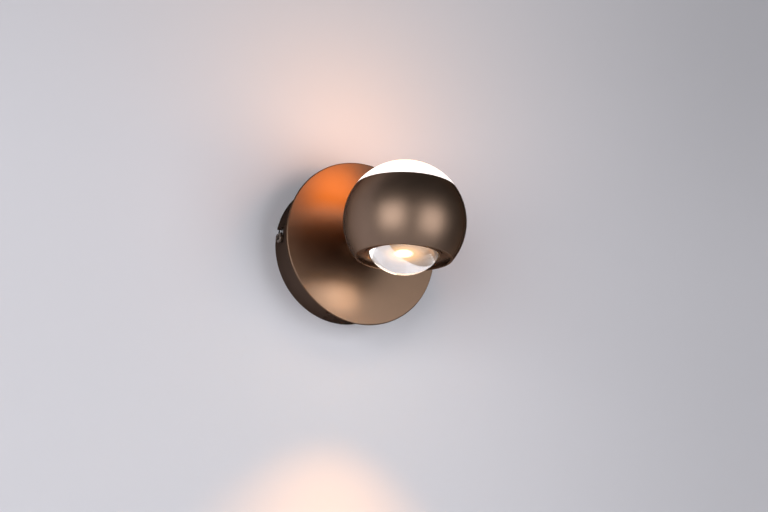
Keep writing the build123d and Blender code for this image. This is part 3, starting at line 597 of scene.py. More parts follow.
@dataclass(frozen=True)
class LitPhosphor(Finish):
    """The yellow phosphor over the lit chips."""

    chip: float = 1.3 * MM
    chip_tone: Colour = (1.0, 0.9, 0.5)
    glow: Colour = (1.0, 0.82, 0.45)
    chip_glow: Colour = (1.0, 0.7, 0.3)
    strength: float = 6.0

    def dress(self, nodes: Paint) -> None:
        """Show the chips as a faint grid of brighter spots.

        Args:
            nodes: the material's nodes.
        """
        spots = nodes.node("ShaderNodeTexVoronoi", {"distance": "CHEBYCHEV"},
                           {"Vector": nodes.place(), "Scale": 1.0 / self.chip, "Randomness": 0.0})
        nodes.set(Base_Color=nodes.mix(spots, self.colour, self.chip_tone), Roughness=0.5,
                  Emission_Color=nodes.mix(spots, self.glow, self.chip_glow),
                  Emission_Strength=self.strength)


@dataclass(frozen=True)
class Braid(Finish):
    """Coated glass braid."""

    pitch: float = 0.5 * MM
    lean: float = 0.7
    darkest: float = 0.7

    def dress(self, nodes: Paint) -> None:
        """Weave the braid from two crossed sets of bands.

        Args:
            nodes: the material's nodes.
        """
        over, under = (nodes.node("ShaderNodeTexWave", {"bands_direction": "Y"},
                                  {"Vector": nodes.place(turn=(0.0, 0.0, lean)),
                                   "Scale": 0.314 / self.pitch}, output="Fac")
                       for lean in (self.lean, -self.lean))
        weave = over * under
        nodes.set(Base_Color=nodes.mix(weave, shade(self.colour, self.darkest), self.colour),
                  Roughness=weave * 0.2 + 0.5, Normal=nodes.bump(weave, 0.08 * MM, 0.8))


@dataclass(frozen=True)
class Insulation(Finish):
    """Extruded wire insulation."""

    roughness: float = 0.38
    unevenness: float = 0.8 * MM
    darkest: float = 0.85

    def tone(self, nodes: Paint, by: float) -> Signal | Colour:
        """Give the insulation's colour, made darker or left alone."""
        return shade(self.colour, by)

    def dress(self, nodes: Paint) -> None:
        """Add the faint unevenness of an extruded skin.

        Args:
            nodes: the material's nodes.
        """
        skin = nodes.noise(nodes.place(), self.unevenness)
        nodes.set(Base_Color=nodes.mix(skin, self.tone(nodes, self.darkest), self.tone(nodes, 1.0)),
                  Roughness=skin * 0.14 + (self.roughness - 0.07),
                  Normal=nodes.bump(skin, 0.02 * MM, 0.35))


@dataclass(frozen=True)
class StripedInsulation(Insulation):
    """Wire insulation of one colour with a stripe of another along it."""

    stripe: Colour = linear(214, 190, 40)
    edge: tuple[float, float] = (0.62, 0.66)

    def tone(self, nodes: Paint, by: float) -> Signal:
        """Lay the stripe along the wire, by the place round it."""
        around = nodes.node("ShaderNodeAttribute", {"attribute_name": AROUND}, output="Fac")
        return nodes.mix(around.between(*self.edge), shade(self.colour, by), shade(self.stripe, by))


class Coat(Enum):
    """Every finish on the light. A coat with the name of a material slot is the one for it."""

    BRONZE_PAINT = BronzePaint((0.282, 0.192, 0.141), roughness=0.43)
    # A darker copy of the bronze paint for the disc, with less roughness: the darker colour is
    # painted shade
    DISC_PAINT = BronzePaint((0.235, 0.152, 0.105), roughness=0.34)
    # A darker copy of the bronze paint for the drum: painted shade
    DRUM_PAINT = BronzePaint((0.16, 0.115, 0.092))
    ZINC_STEEL = PlatedSteel(linear(200, 200, 198))
    SIDE_SCREW_STEEL = PlatedSteel(linear(142, 128, 117), roughness=0.32)
    # Black oxide steel, made near-black so that the set screws also stand for the shade of the
    # holes they sit in: partly painted shade
    BLACK_STEEL = PlatedSteel(linear(14, 13, 13), roughness=0.62)
    SPRING_STEEL = PlatedSteel(linear(110, 108, 112), roughness=0.34)
    BRASS = PlatedSteel(linear(222, 178, 104), roughness=0.28)
    TINNED_COPPER = PlatedSteel(linear(205, 202, 196), roughness=0.33)
    CAST_ALUMINIUM = CastMetal(linear(190, 190, 192))
    FROSTED_DOME = GlowingDome(linear(246, 244, 240))
    CLEAR_LENS = ClearAcrylic((1.0, 1.0, 1.0))
    BRIGHT_REFLECTOR = BrightDish((0.92, 0.92, 0.92))
    SILICONE = SoftRubber(linear(222, 221, 216))
    WHITE_PLASTIC = MouldedPlastic(linear(232, 231, 226))
    NYLON = MouldedPlastic(linear(34, 32, 30), roughness=0.5)
    DRIVER_BLACK = MouldedPlastic(linear(26, 26, 28), roughness=0.4)
    GREEN_BOARD = CircuitBoard(linear(22, 86, 48))
    BOARD_WHITE = CircuitBoard(linear(226, 226, 220), roughness=0.4)
    PHOSPHOR = LitPhosphor(linear(240, 205, 92))
    GLASS_SLEEVE = Braid(linear(226, 222, 208))
    WIRE_BROWN = Insulation(linear(92, 52, 30))
    WIRE_BLUE = Insulation(linear(38, 84, 160))
    WIRE_GREEN_YELLOW = StripedInsulation(linear(60, 128, 52))
    WIRE_RED = Insulation(linear(176, 30, 24))
    WIRE_BLACK = Insulation(linear(22, 22, 24))
    WIRE_WHITE = Insulation(linear(226, 226, 222))


# The nodes whose coat isn't the one of their slot
OWN_COATS: dict[str, Coat] = {
    # the disc's darker copy of the bronze paint is painted shade
    "front_disc": Coat.DISC_PAINT,
    # the drum's darker copy of the bronze paint is painted shade
    "canopy_drum": Coat.DRUM_PAINT,
    "disc_spring": Coat.SPRING_STEEL,
}


class Paintbox:
    """The materials, each made once."""

    def __init__(self) -> None:
        """Start with no material made."""
        self.made: dict[Coat, bpy.types.Material] = {}
        self.slots = {row["node"]: row["material_slot"] for row in frame["record"]["subparts"]}

    def coat(self, node: str) -> Coat:
        """Give a node's own coat, or else the coat of its slot."""
        return OWN_COATS.get(node) or Coat[self.slots[node].upper()]

    def material(self, coat: Coat) -> bpy.types.Material:
        """Give the material of a coat, and make it the first time.

        Args:
            coat: the finish.

        Returns:
            Its material.
        """
        if coat not in self.made:
            self.made[coat] = coat.value.build(coat.name.lower())
        return self.made[coat]

    def dress(self, node: str) -> None:
        """Put its coat on a CAD node.

        Args:
            node: the CAD node.
        """
        piece = frame["nodes"][node]
        material = self.material(self.coat(node))
        if piece.material_slots:
            for place in piece.material_slots:
                place.material = material
        else:
            piece.data.materials.append(material)
        log.info("%s has %s", node, material.name)


# Shapes


class Shape(Nodes):
    """A Geometry Nodes tree, with named inputs for its sizes."""

    def __init__(self, name: str) -> None:
        """Make an empty tree with one geometry in and one out.

        Args:
            name: what the tree is called.
        """
        self.tree = bpy.data.node_groups.new(name, "GeometryNodeTree")
        self.tree.is_modifier = True
        self.inputs: dict[str, str] = {}
        face = self.tree.interface
        face.new_socket("Geometry", in_out="OUTPUT", socket_type="NodeSocketGeometry")
        face.new_socket("Geometry", in_out="INPUT", socket_type="NodeSocketGeometry")
        self.inlet = self.tree.nodes.new("NodeGroupInput")
        self.outlet = self.tree.nodes.new("NodeGroupOutput")

    @property
    def given(self) -> Signal:
        """The geometry that the tree is given."""
        return Signal(self, self.inlet.outputs[0])

    def size(self, name: str, kind: str = "Float") -> Signal:
        """Add a named input.

        Args:
            name: what the input is called.
            kind: its type.

        Returns:
            Its value inside the tree.
        """
        made = self.tree.interface.new_socket(name, in_out="INPUT", socket_type="NodeSocket" + kind)
        self.inputs[name] = made.identifier
        return Signal(self, self.inlet.outputs[name])

    def sheet(self, rows: int, columns: int) -> tuple[Signal, Signal, Signal]:
        """Lay out a sheet of faces, to be wrapped round an axis.

        Args:
            rows: how many steps it has along the profile.
            columns: how many steps it has round the axis.

        Returns:
            The sheet, the share of a turn and the share of the profile.
        """
        flat = self.node("GeometryNodeMeshGrid", None,
                         {"Size X": 1.0, "Size Y": 1.0, "Vertices X": columns + 1,
                          "Vertices Y": rows + 1})
        here = self.node("GeometryNodeInputPosition")
        turn, along = (self.axis(here, name) + 0.5 for name in ("X", "Y"))
        return flat, turn, along

    def wrap(self, flat: Signal, turn: Signal, radius: Signal, height: Signal) -> Signal:
        """Wrap a sheet round the Z axis and close its seam and its poles.

        Args:
            flat: the sheet.
            turn: the share of a turn at each of its points.
            radius: how far each point is from the axis.
            height: how far up it is.

        Returns:
            The closed shape.
        """
        angle = turn * math.tau
        place = self.joined(radius * angle.maths("COSINE"), radius * angle.maths("SINE"), height)
        wrapped = self.node("GeometryNodeSetPosition", None, {"Geometry": flat, "Position": place})
        return self.node("GeometryNodeMergeByDistance", None,
                         {"Geometry": wrapped, "Distance": SEAM})

    def cut(self, body: Signal, cutter: Signal) -> Signal:
        """Cut one shape out of another."""
        return self.node("GeometryNodeMeshBoolean",
                         {"operation": "DIFFERENCE", "solver": "EXACT"},
                         {"Mesh 1": body, "Mesh 2": cutter})

    def spread(self, one: Signal, spin: float = 0.0) -> Signal:
        """Put one shape at each point given, with its Z axis the way that the point faces.

        Args:
            one: the shape.
            spin: the most that a shape is turned about its own axis, in radians.

        Returns:
            The shapes, as instances.
        """
        facing = self.node("GeometryNodeInputNamedAttribute", {"data_type": "FLOAT_VECTOR"},
                           {"Name": FACING}, output="Attribute")
        turned = self.node("FunctionNodeAlignRotationToVector", {"axis": "Z"}, {"Vector": facing})
        lone = self.node("FunctionNodeRandomValue", {"data_type": "FLOAT"},
                         {"Min": 0.0, "Max": spin, "Seed": SEED}, output=1)
        about = self.node("FunctionNodeAxisAngleToRotation", None,
                          {"Axis": (0.0, 0.0, 1.0), "Angle": lone})
        both = self.node("FunctionNodeRotateRotation", {"rotation_space": "LOCAL"},
                         {"Rotation": turned, "Rotate By": about})
        return self.node("GeometryNodeInstanceOnPoints", None,
                         {"Points": self.given, "Instance": one, "Rotation": both})

    def finish(self, made: Signal, window: Signal | None = None) -> None:
        """Realise the shape, give it its material and end the tree.

        Args:
            made: the shape.
            window: the faces that take a second material, if there are any.
        """
        real = self.node("GeometryNodeRealizeInstances", None, {"Geometry": made})
        dressed = self.node("GeometryNodeSetMaterial", None,
                            {"Geometry": real, "Material": self.size("Material", "Material")})
        if window:
            dressed = self.node("GeometryNodeSetMaterial", None,
                                {"Geometry": dressed, "Selection": window,
                                 "Material": self.size("Window Material", "Material")})
        self.tree.links.new(dressed.socket, self.outlet.inputs[0])


class Threaded(Shape):
    """A part that is turned from a profile, with a thread along it.

    Each row of the profile gives a place along it and the values there. Places are counted in
    steps, from 0 at one end of the profile to the last step at the other.
    """

    steps: int = 64
    profile: tuple[tuple[float, ...], ...]
    run_in: tuple[int, int]
    run_out: tuple[int, int]

    def column(self, along: Signal, index: int) -> Signal:
        """Give a value of the profile, which runs straight from row to row.

        Args:
            along: the share of the profile.
            index: which value of the rows.

        Returns:
            The value.
        """
        line = [(row[0] / self.steps, row[index]) for row in self.profile]
        inner = [here for before, here, after in zip(line, line[1:], line[2:])
                 if not before[1] == here[1] == after[1]]
        return self.node("ShaderNodeFloatCurve", {"bends": [line[0], *inner, line[-1]]},
                         {"Value": along})

    def turned(self, sheet: tuple[Signal, Signal, Signal], width: Signal,
               height: Signal) -> Signal:
        """Cut the thread and wrap the profile round its axis.

        Args:
            sheet: the sheet, the share of a turn and the share of the profile.
            width: the diameter along the profile.
            height: the height along the profile.

        Returns:
            The shape.
        """
        flat, turn, along = sheet
        starts = along.between(*(step / self.steps for step in self.run_in))
        ends = along.between(*(step / self.steps for step in self.run_out))
        ridge = (height / self.size("Pitch") - turn).maths("PINGPONG", 0.5) * 2.0
        groove = ridge * self.size("Thread Depth") * (starts * (1.0 - ends))
        return self.wrap(flat, turn, width * 0.5 - groove, height)


class TurnedScrew(Threaded):
    """A screw with a slot or a cross in its head, from a profile of head, shank, rise and drop."""

    profile = (
        (0, 0.0, 0.0, 1.0, 0.0),
        (8, 0.84, 0.0, 1.0, 0.0),
        (10, 0.94, 0.0, 0.93, 0.0),
        (12, 0.985, 0.0, 0.78, 0.0),
        (14, 1.0, 0.0, 0.55, 0.0),
        (17, 1.0, 0.0, 0.0, 0.0),
        (20, 0.0, 1.0, 0.0, 0.0),
        (60, 0.0, 1.0, 0.0, 0.93),
        (62, 0.0, 0.78, 0.0, 1.0),
        (64, 0.0, 0.0, 0.0, 1.0),
    )
    run_in = (22, 25)
    run_out = (57, 60)

    def __init__(self) -> None:
        """Build the tree."""
        super().__init__("turned_screw")
        sheet = self.sheet(rows=128, columns=24)
        head, shank, rise, drop = (self.column(sheet[2], index) for index in (1, 2, 3, 4))
        head_height = self.size("Head Height")
        width = head * self.size("Head Diameter") + shank * self.size("Shank Diameter")
        body = self.turned(sheet, width, rise * head_height - drop * self.size("Length"))
        self.finish(self.spread(self.driven(body, head_height), spin=math.pi))

    def driven(self, body: Signal, head_height: Signal) -> Signal:
        """Cut the slot or the cross.

        Args:
            body: the plain screw.
            head_height: how high its head is.

        Returns:
            The screw with its drive.
        """
        size = self.joined(self.size("Slot Length"), self.size("Slot Width"),
                           self.size("Slot Depth") * 2.0)
        blade = self.node("GeometryNodeMeshCube", None, {"Size": size})
        first = self.node("GeometryNodeTransform", None,
                          {"Geometry": blade, "Translation": self.joined(z=head_height)})
        second = self.node("GeometryNodeTransform", None,
                           {"Geometry": first, "Rotation": (0.0, 0.0, math.pi / 2)})
        slotted = self.cut(body, first)
        return self.node("GeometryNodeSwitch", {"input_type": "GEOMETRY"},
                         {"Switch": self.size("Cross", "Bool"), "False": slotted,
                          "True": self.cut(slotted, second)})


class ThreadedTube(Threaded):
    """A tube with a thread along its outside, from a profile of skin, bore and rise."""

    profile = (
        (0, 0.0, 1.0, 0.0),
        (1, 0.92, 0.0, 0.0),
        (3, 1.0, 0.0, 0.01),
        (59, 1.0, 0.0, 0.99),
        (61, 0.92, 0.0, 1.0),
        (62, 0.0, 1.0, 1.0),
        (64, 0.0, 1.0, 0.0),
    )
    run_in = (2, 4)
    run_out = (58, 60)

    def __init__(self) -> None:
        """Build the tree."""
        super().__init__("threaded_tube")
        sheet = self.sheet(rows=512, columns=32)
        skin, bore, rise = (self.column(sheet[2], index) for index in (1, 2, 3))
        width = skin * self.size("Diameter") + bore * self.size("Bore")
        self.finish(self.spread(self.turned(sheet, width, rise * self.size("Length"))))


class LightRing(Shape):
    """A ring of small lights, each with a window sunk into its body."""

    facing_up: float = 0.9

    def __init__(self) -> None:
        """Build the tree."""
        super().__init__("light_ring")
        light, pane = self.light()
        count = self.size("Count", "Int")
        points = self.node("GeometryNodeMeshCircle", None,
                           {"Vertices": count, "Radius": self.size("Ring Diameter") * 0.5})
        turned = self.node("FunctionNodeAlignRotationToVector", {"axis": "X"},
                           {"Vector": self.node("GeometryNodeInputPosition")})
        many = self.node("GeometryNodeInstanceOnPoints", None,
                         {"Points": points, "Instance": light, "Rotation": turned})
        half_step = self.joined(z=math.pi / count)
        settled = self.node("GeometryNodeTransform", None,
                            {"Geometry": many, "Rotation": half_step,
                             "Translation": self.size("Middle", "Vector")})
        self.finish(settled, window=pane)

    def light(self) -> tuple[Signal, Signal]:
        """Make one light.

        Returns:
            The light and the choice of its window's face.
        """
        sides = self.joined(self.size("Length"), self.size("Width"), self.size("Height"))
        body = self.node("GeometryNodeMeshCube", None, {"Size": sides})
        up = self.axis(self.node("GeometryNodeInputNormal"), "Z")
        rim = self.node("GeometryNodeExtrudeMesh", {"mode": "FACES"},
                        {"Mesh": body, "Selection": up.maths("GREATER_THAN", self.facing_up),
                         "Offset Scale": 0.0})
        top = Signal(self, rim.socket.node.outputs["Top"])
        inset = self.node("GeometryNodeScaleElements", {"domain": "FACE"},
                          {"Geometry": rim, "Selection": top, "Scale": self.size("Window Share")})
        sunk = self.node("GeometryNodeExtrudeMesh", {"mode": "FACES"},
                         {"Mesh": inset, "Selection": top,
                          "Offset Scale": self.size("Well Depth") * -1.0})
        return sunk, Signal(self, sunk.socket.node.outputs["Top"])


class RoundWire(Shape):
    """A round wire that follows its curve and knows the place round itself."""

    sides: int = 16

    def __init__(self) -> None:
        """Build the tree."""
        super().__init__("round_wire")
        ring = self.node("GeometryNodeCurvePrimitiveCircle", None,
                         {"Resolution": self.sides, "Radius": self.size("Diameter") * 0.5})
        share = self.node("GeometryNodeSplineParameter", output="Factor")
        marked = self.node("GeometryNodeStoreNamedAttribute",
                           {"data_type": "FLOAT", "domain": "POINT"},
                           {"Geometry": ring, "Name": AROUND,
                            "Value": (share * 2.0).maths("PINGPONG", 1.0)})
        self.finish(self.node("GeometryNodeCurveToMesh", None,
                              {"Curve": self.given, "Profile Curve": marked, "Fill Caps": True}))


class Bench:
    """Where shapes are made into finished pieces of the light."""

    def __init__(self, paintbox: Paintbox) -> None:
        """Start with no shape made.

        Args:
            paintbox: the materials.
        """
        self.paintbox = paintbox
        self.shapes: dict[type[Shape], Shape] = {}
        self.bodies = {node: body for body, nodes in frame["record"]["behaviour"]["bodies"].items()
                       for node in nodes}

    def run(self, shape: Shape, start: bpy.types.ID, sizes: dict[str, object]) -> bpy.types.Mesh:
        """Run a shape's tree on a mesh or a curve.

        Args:
            shape: the shape.
            start: the mesh or curve that it starts from.
            sizes: the values of its named inputs.

        Returns:
            A plain mesh.
        """
        blank = put_in_scene("blank", start)
        modifier = blank.modifiers.new("shape", "NODES")
        modifier.node_group = shape.tree
        for label, value in sizes.items():
            modifier[shape.inputs[label]] = value
        graph = bpy.context.evaluated_depsgraph_get()
        mesh = bpy.data.meshes.new_from_object(blank.evaluated_get(graph),
                                               preserve_all_data_layers=True, depsgraph=graph)
        blank.modifiers.remove(modifier)
        bpy.data.objects.remove(blank)
        if mesh.materials[0] is None:
            mesh.materials.pop(index=0)
        return mesh

    def smooth(self, mesh: bpy.types.Mesh) -> None:
        """Turn a mesh's faces outwards, and shade it smooth apart from its sharp edges.

        Args:
            mesh: the mesh.
        """
        work = bmesh.new()
        work.from_mesh(mesh)
        bmesh.ops.recalc_face_normals(work, faces=work.faces)
        work.to_mesh(mesh)
        work.free()
        mesh.shade_smooth()
        mesh.set_sharp_from_angle(angle=SHARP_FROM)

    def make(self, kind: type[Shape], start: bpy.types.ID, name: str, node: str,
             sizes: dict[str, object]) -> bpy.types.Object:
        """Make a piece, dress it and let it stand for a CAD node.

        Args:
            kind: the shape to make.
            start: the mesh or curve that it starts from.
            name: the piece's name.
            node: the CAD node that the piece stands for, which also gives its coat.
            sizes: the values of the shape's named inputs, apart from that coat.

        Returns:
            The piece.
        """
        if kind not in self.shapes:
            self.shapes[kind] = kind()
        coat = self.paintbox.material(self.paintbox.coat(node))
        mesh = self.run(self.shapes[kind], start, {"Material": coat, **sizes})
        mesh.name = name
        self.smooth(mesh)
        piece = put_in_scene(name, mesh)
        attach(piece, self.bodies[node])
        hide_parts(node)
        log.info("%s stands for %s, with %d faces", name, node, len(mesh.polygons))
        return piece

    def points(self, places: list[tuple[Point, Point]]) -> bpy.types.Mesh:
        """Make points for shapes to stand on.

        Args:
            places: where each point is and the way that it faces.

        Returns:
            A mesh of the points.
        """
        mesh = bpy.data.meshes.new("points")
        mesh.from_pydata([place for place, _ in places], [], [])
        facing = mesh.attributes.new(FACING, "FLOAT_VECTOR", "POINT")
        for row, (_, way) in zip(facing.data, places):
            row.vector = way
        return mesh


def lying(x: float, up: float, out: float) -> Point:
    """Turn a place in the canopy, in millimetres off the wall, into the frame."""
    return x * MM, -out * MM, up * MM


def in_ball(x: float, y: float, z: float) -> Point:
    """Turn a place from the ball's middle, in millimetres, into the frame."""
    return x * MM, BALL_Y + y * MM, z * MM


# A screw's drive, as shares of its head's diameter and height, and its thread, of the pitch
CROSS_LENGTH = 0.62
SLOT_LENGTH = 1.2
SLOT_WIDTH = 0.16
SLOT_DEPTH = 0.62
THREAD_DEPTH = 0.54


@dataclass(frozen=True)
class Screw:
    """The sizes of one kind of screw, in millimetres."""

    head_d: float
    head_h: float
    shank_d: float
    length: float
    pitch: float = 0.5
    cross: bool = True

    def sizes(self) -> dict[str, object]:
        """Give the values of the screw's inputs.

        Returns:
            The values by the inputs' names.
        """
        slot = self.head_d * (CROSS_LENGTH if self.cross else SLOT_LENGTH)
        return {"Head Diameter": self.head_d * MM, "Head Height": self.head_h * MM,
                "Shank Diameter": self.shank_d * MM, "Length": self.length * MM,
                "Pitch": self.pitch * MM, "Thread Depth": self.pitch * THREAD_DEPTH * MM,
                "Slot Length": slot * MM, "Slot Width": self.head_d * SLOT_WIDTH * MM,
                "Slot Depth": self.head_h * SLOT_DEPTH * MM, "Cross": self.cross}


@dataclass
class ScrewSet:
    """Some alike screws: the middle of the underside of each head, and the way it faces."""

    name: str
    node: str
    screw: Screw
    places: list[tuple[Point, Point]]

    def build(self, bench: Bench) -> None:
        """Make the set."""
        bench.make(TurnedScrew, bench.points(self.places), self.name, self.node,
                   self.screw.sizes())


@dataclass
class Wire:
    """One insulated wire on a smooth route."""

    name: str
    node: str
    diameter: float
    route: list[Point]
    order: int = 3
    steps: int = 10

    def build(self, bench: Bench) -> None:
        """Make the wire on a smooth line whose control points are the route.

        Args:
            bench: where it is made.
        """
        curve = bpy.data.curves.new(self.name, "CURVE")
        curve.dimensions = "3D"
        curve.resolution_u = self.steps
        spline = curve.splines.new("NURBS")
        spline.points.add(len(self.route) - 1)
        for point, place in zip(spline.points, self.route):
            point.co = (*place, 1.0)
        spline.order_u = self.order
        spline.use_endpoint_u = True
        bench.make(RoundWire, curve, self.name, self.node, {"Diameter": self.diameter * MM})


TO_WALL: Point = (0.0, 1.0, 0.0)
OFF_WALL: Point = (0.0, -1.0, 0.0)
UP: Point = (0.0, 0.0, 1.0)
DOWN: Point = (0.0, 0.0, -1.0)


@dataclass
class WallBracket:
    """The screws that the wall bracket carries, in millimetres."""

    side_x: float = 53.45
    side_out: float = 10.0
    side_screw: Screw = Screw(7.0, 2.2, 3.0, 8.0)
    earth_x: float = 15.0
    earth_out: float = 2.3
    earth_screw: Screw = Screw(7.2, 2.6, 4.0, 2.3, pitch=0.7)

    def build(self, bench: Bench) -> None:
        """Make the screws.

        Args:
            bench: where they are made.
        """
        sides = [(lying(side * self.side_x, 0.0, self.side_out), (float(side), 0.0, 0.0))
                 for side in (-1, 1)]
        earth = [(lying(self.earth_x, 0.0, self.earth_out), OFF_WALL)]
        ScrewSet("side_screws", "bracket_side_screws", self.side_screw, sides).build(bench)
        ScrewSet("earth_screw", "bracket_earth_screw", self.earth_screw, earth).build(bench)


@dataclass
class Canopy:
    """The screws, the wires and the threaded tube of the canopy, in millimetres."""

    case_screw: Screw = Screw(5.6, 2.2, 3.0, 4.5)
    case_reach: float = 35.0
    case_up: float = 24.48
    case_out: float = 26.5
    block_screw: Screw = Screw(5.6, 2.2, 3.0, 5.5)
    block_reach: float = 19.5
    block_up: float = -25.0
    block_out: float = 25.5
    tag_screw: Screw = Screw(5.6, 2.2, 3.0, 3.8)
    tag_place: Point = (30.0, -9.0, 27.2)
    pole_screw: Screw = Screw(2.6, 0.8, 2.6, 3.5, pitch=0.45, cross=False)
    poles: tuple[float, ...] = (-10.0, 0.0, 10.0)
    pole_reach: float = 4.0
    pole_out: float = 20.5
    tube_d: float = 10.0
    tube_bore: float = 6.4
    tube_pitch: float = 1.0
    tube_thread: float = 0.5
    tube_out: tuple[float, float] = (24.3, 70.6)
    mains_wire: float = 2.0
    light_wire: float = 1.6

    def screws(self) -> list[ScrewSet]:
        """List the canopy's screws.

        Returns:
            The sets of screws.
        """
        case = [lying(side * self.case_reach, self.case_up, self.case_out) for side in (-1, 1)]
        block = [lying(side * self.block_reach, self.block_up, self.block_out) for side in (-1, 1)]
        poles = [lying(x, self.block_up + side * self.pole_reach,
                       self.pole_out + self.pole_screw.head_h)
                 for x in self.poles for side in (-1, 1)]
        return [ScrewSet(name, node, screw, [(place, TO_WALL) for place in places])
                for name, node, screw, places in (
                    ("case_screws", "driver_screws", self.case_screw, case),
                    ("block_screws", "terminal_fixing_screws", self.block_screw, block),
                    ("tag_screw", "earth_tag_screw", self.tag_screw, [lying(*self.tag_place)]),
                    ("pole_screws", "terminal_screws", self.pole_screw, poles))]

    def wires(self) -> list[Wire]:
        """List the canopy's wires, from the driver to the terminal, the tag and the head.

        Returns:
            The wires.
        """
        routes = {
            ("live_wire", "live_lead", self.mains_wire): [
                (-27.4, 18.5, 20.0), (-34.5, 18.6, 20.2), (-40.5, 15.0, 20.6), (-42.5, 7.0, 21.4),
                (-39.0, -3.0, 22.8), (-28.0, -8.6, 24.6), (-16.0, -8.0, 26.0),
                (-10.4, -13.3, 26.1), (-10.0, -21.5, 26.0)],
            ("neutral_wire", "neutral_lead", self.mains_wire): [
                (-27.4, 15.0, 20.0), (-33.0, 14.8, 19.9), (-38.0, 11.0, 19.6), (-38.5, 3.0, 19.4),
                (-33.0, -4.5, 19.4), (-23.5, -9.0, 19.8), (-12.0, -9.6, 21.0),
                (-3.4, -10.6, 24.2), (0.0, -15.0, 25.8), (0.1, -22.5, 26.0)],
            ("earth_wire", "earth_lead", self.mains_wire): [
                (10.0, -22.0, 26.0), (10.2, -14.5, 26.0), (14.8, -9.2, 27.5), (24.5, -9.0, 27.6)],
            ("plus_wire", "led_plus_lead", self.light_wire): [
                (27.4, 18.5, 20.0), (34.0, 18.4, 19.8), (39.0, 14.6, 18.9), (40.0, 6.5, 17.2),
                (33.5, -1.2, 14.6), (21.0, -3.4, 12.0), (9.0, -2.3, 10.3), (0.6, -1.1, 14.6),
                (0.0, -1.0, 66.0)],
            ("minus_wire", "led_minus_lead", self.light_wire): [
                (27.4, 15.0, 20.0), (32.5, 14.8, 19.6), (36.2, 11.2, 18.4), (35.6, 5.0, 16.4),
                (29.0, 2.2, 13.6), (20.0, 1.9, 11.4), (9.0, 2.3, 10.3), (0.6, 1.1, 14.6),
                (0.0, 1.0, 66.0)],
        }
        return [Wire(*kind, [lying(*point) for point in route]) for kind, route in routes.items()]

    def tube(self, bench: Bench) -> None:
        """Make the threaded tube that the ball turns on.

        Args:
            bench: where it is made.
        """
        back, front = self.tube_out
        bench.make(ThreadedTube, bench.points([(lying(0.0, 0.0, back), OFF_WALL)]), "arm_tube",
                   "hollow_nipple",
                   {"Diameter": self.tube_d * MM, "Bore": self.tube_bore * MM,
                    "Length": (front - back) * MM, "Pitch": self.tube_pitch * MM,
                    "Thread Depth": self.tube_thread * MM})

    def build(self, bench: Bench) -> None:
        """Make the screws, the wires and the tube.

        Args:
            bench: where they are made.
        """
        for part in (*self.screws(), *self.wires()):
            part.build(bench)
        self.tube(bench)


@dataclass
class Head:
    """The screws, the wires and the ring of lights inside the ball, in millimetres."""

    holder_screw: Screw = Screw(4.5, 1.5, 2.5, 3.4, pitch=0.45)
    holder_reach: float = 14.0
    holder_face: float = -13.18
    board_screw: Screw = Screw(5.6, 2.2, 3.0, 7.2)
    board_reach: float = 9.0
    board_top: float = 13.58
    plate_screw: Screw = Screw(5.6, 2.2, 3.0, 7.8)
    plate_reach: float = 30.11
    plate_top: float = 11.98
    plate_angles: tuple[float, ...] = (30.0, 150.0, 270.0)
    ring_d: float = 34.0
    light_count: int = 12
    light_size: tuple[float, float, float] = (3.5, 2.8, 0.8)
    window_share: float = 0.78
    well_depth: float = 0.12
    light_wire: float = 1.6

    def screws(self) -> list[ScrewSet]:
        """List the head's screws.

        Returns:
            The sets of screws.
        """
        holder = [(in_ball(side * self.holder_reach, 0.0, self.holder_face), DOWN)
                  for side in (-1, 1)]
        board = [(in_ball(side * self.board_reach, 0.0, self.board_top), UP) for side in (-1, 1)]
        plate = [(in_ball(self.plate_reach * math.cos(math.radians(angle)),
                          self.plate_reach * math.sin(math.radians(angle)), self.plate_top), UP)
                 for angle in self.plate_angles]
        return [ScrewSet("holder_screws", "cob_holder_screws", self.holder_screw, holder),
                ScrewSet("board_screws", "up_board_screws", self.board_screw, board),
                ScrewSet("plate_screws", "heat_sink_screws", self.plate_screw, plate)]

    def wires(self) -> list[Wire]:
        """List the head's wires, from the arm's tube to the two boards.

        Returns:
            The wires.
        """
        routes = {
            ("head_plus_wire", "head_plus_lead"): [
                (0.0, 28.9, -1.0), (-0.4, 20.5, -1.5), (-4.6, 16.6, -5.0), (-6.0, 17.0, -13.4)],
            ("head_minus_wire", "head_minus_lead"): [
                (0.0, 28.9, 1.0), (0.4, 20.5, 1.5), (4.6, 16.6, 5.0), (6.0, 17.0, 13.5)],
            ("link_wire", "head_link_lead"): [
                (-8.0, 14.5, 13.5), (-7.6, 13.6, 6.5), (-3.6, 11.8, 1.0), (3.8, 11.8, -1.6),
                (7.6, 13.6, -6.5), (8.0, 14.5, -13.4)],
        }
        return [Wire(*kind, self.light_wire, [in_ball(*point) for point in route])
                for kind, route in routes.items()]

    def lights(self, bench: Bench) -> None:
        """Make the ring of small lights.

        Args:
            bench: where it is made.
        """
        length, width, height = self.light_size
        middle = Vector(in_ball(0.0, 0.0, self.board_top + height / 2))
        bench.make(LightRing, bpy.data.meshes.new("empty"), "upper_lights", "up_leds",
                   {"Count": self.light_count, "Ring Diameter": self.ring_d * MM,
                    "Length": length * MM, "Width": width * MM, "Height": height * MM,
                    "Window Share": self.window_share, "Well Depth": self.well_depth * MM,
                    "Middle": middle, "Material": bench.paintbox.material(Coat.WHITE_PLASTIC),
                    "Window Material": bench.paintbox.material(Coat.PHOSPHOR)})

    def build(self, bench: Bench) -> None:
        """Make the screws, the wires and the lights.

        Args:
            bench: where they are made.
        """
        for part in (*self.screws(), *self.wires()):
            part.build(bench)
        self.lights(bench)


# Stage, lights and camera


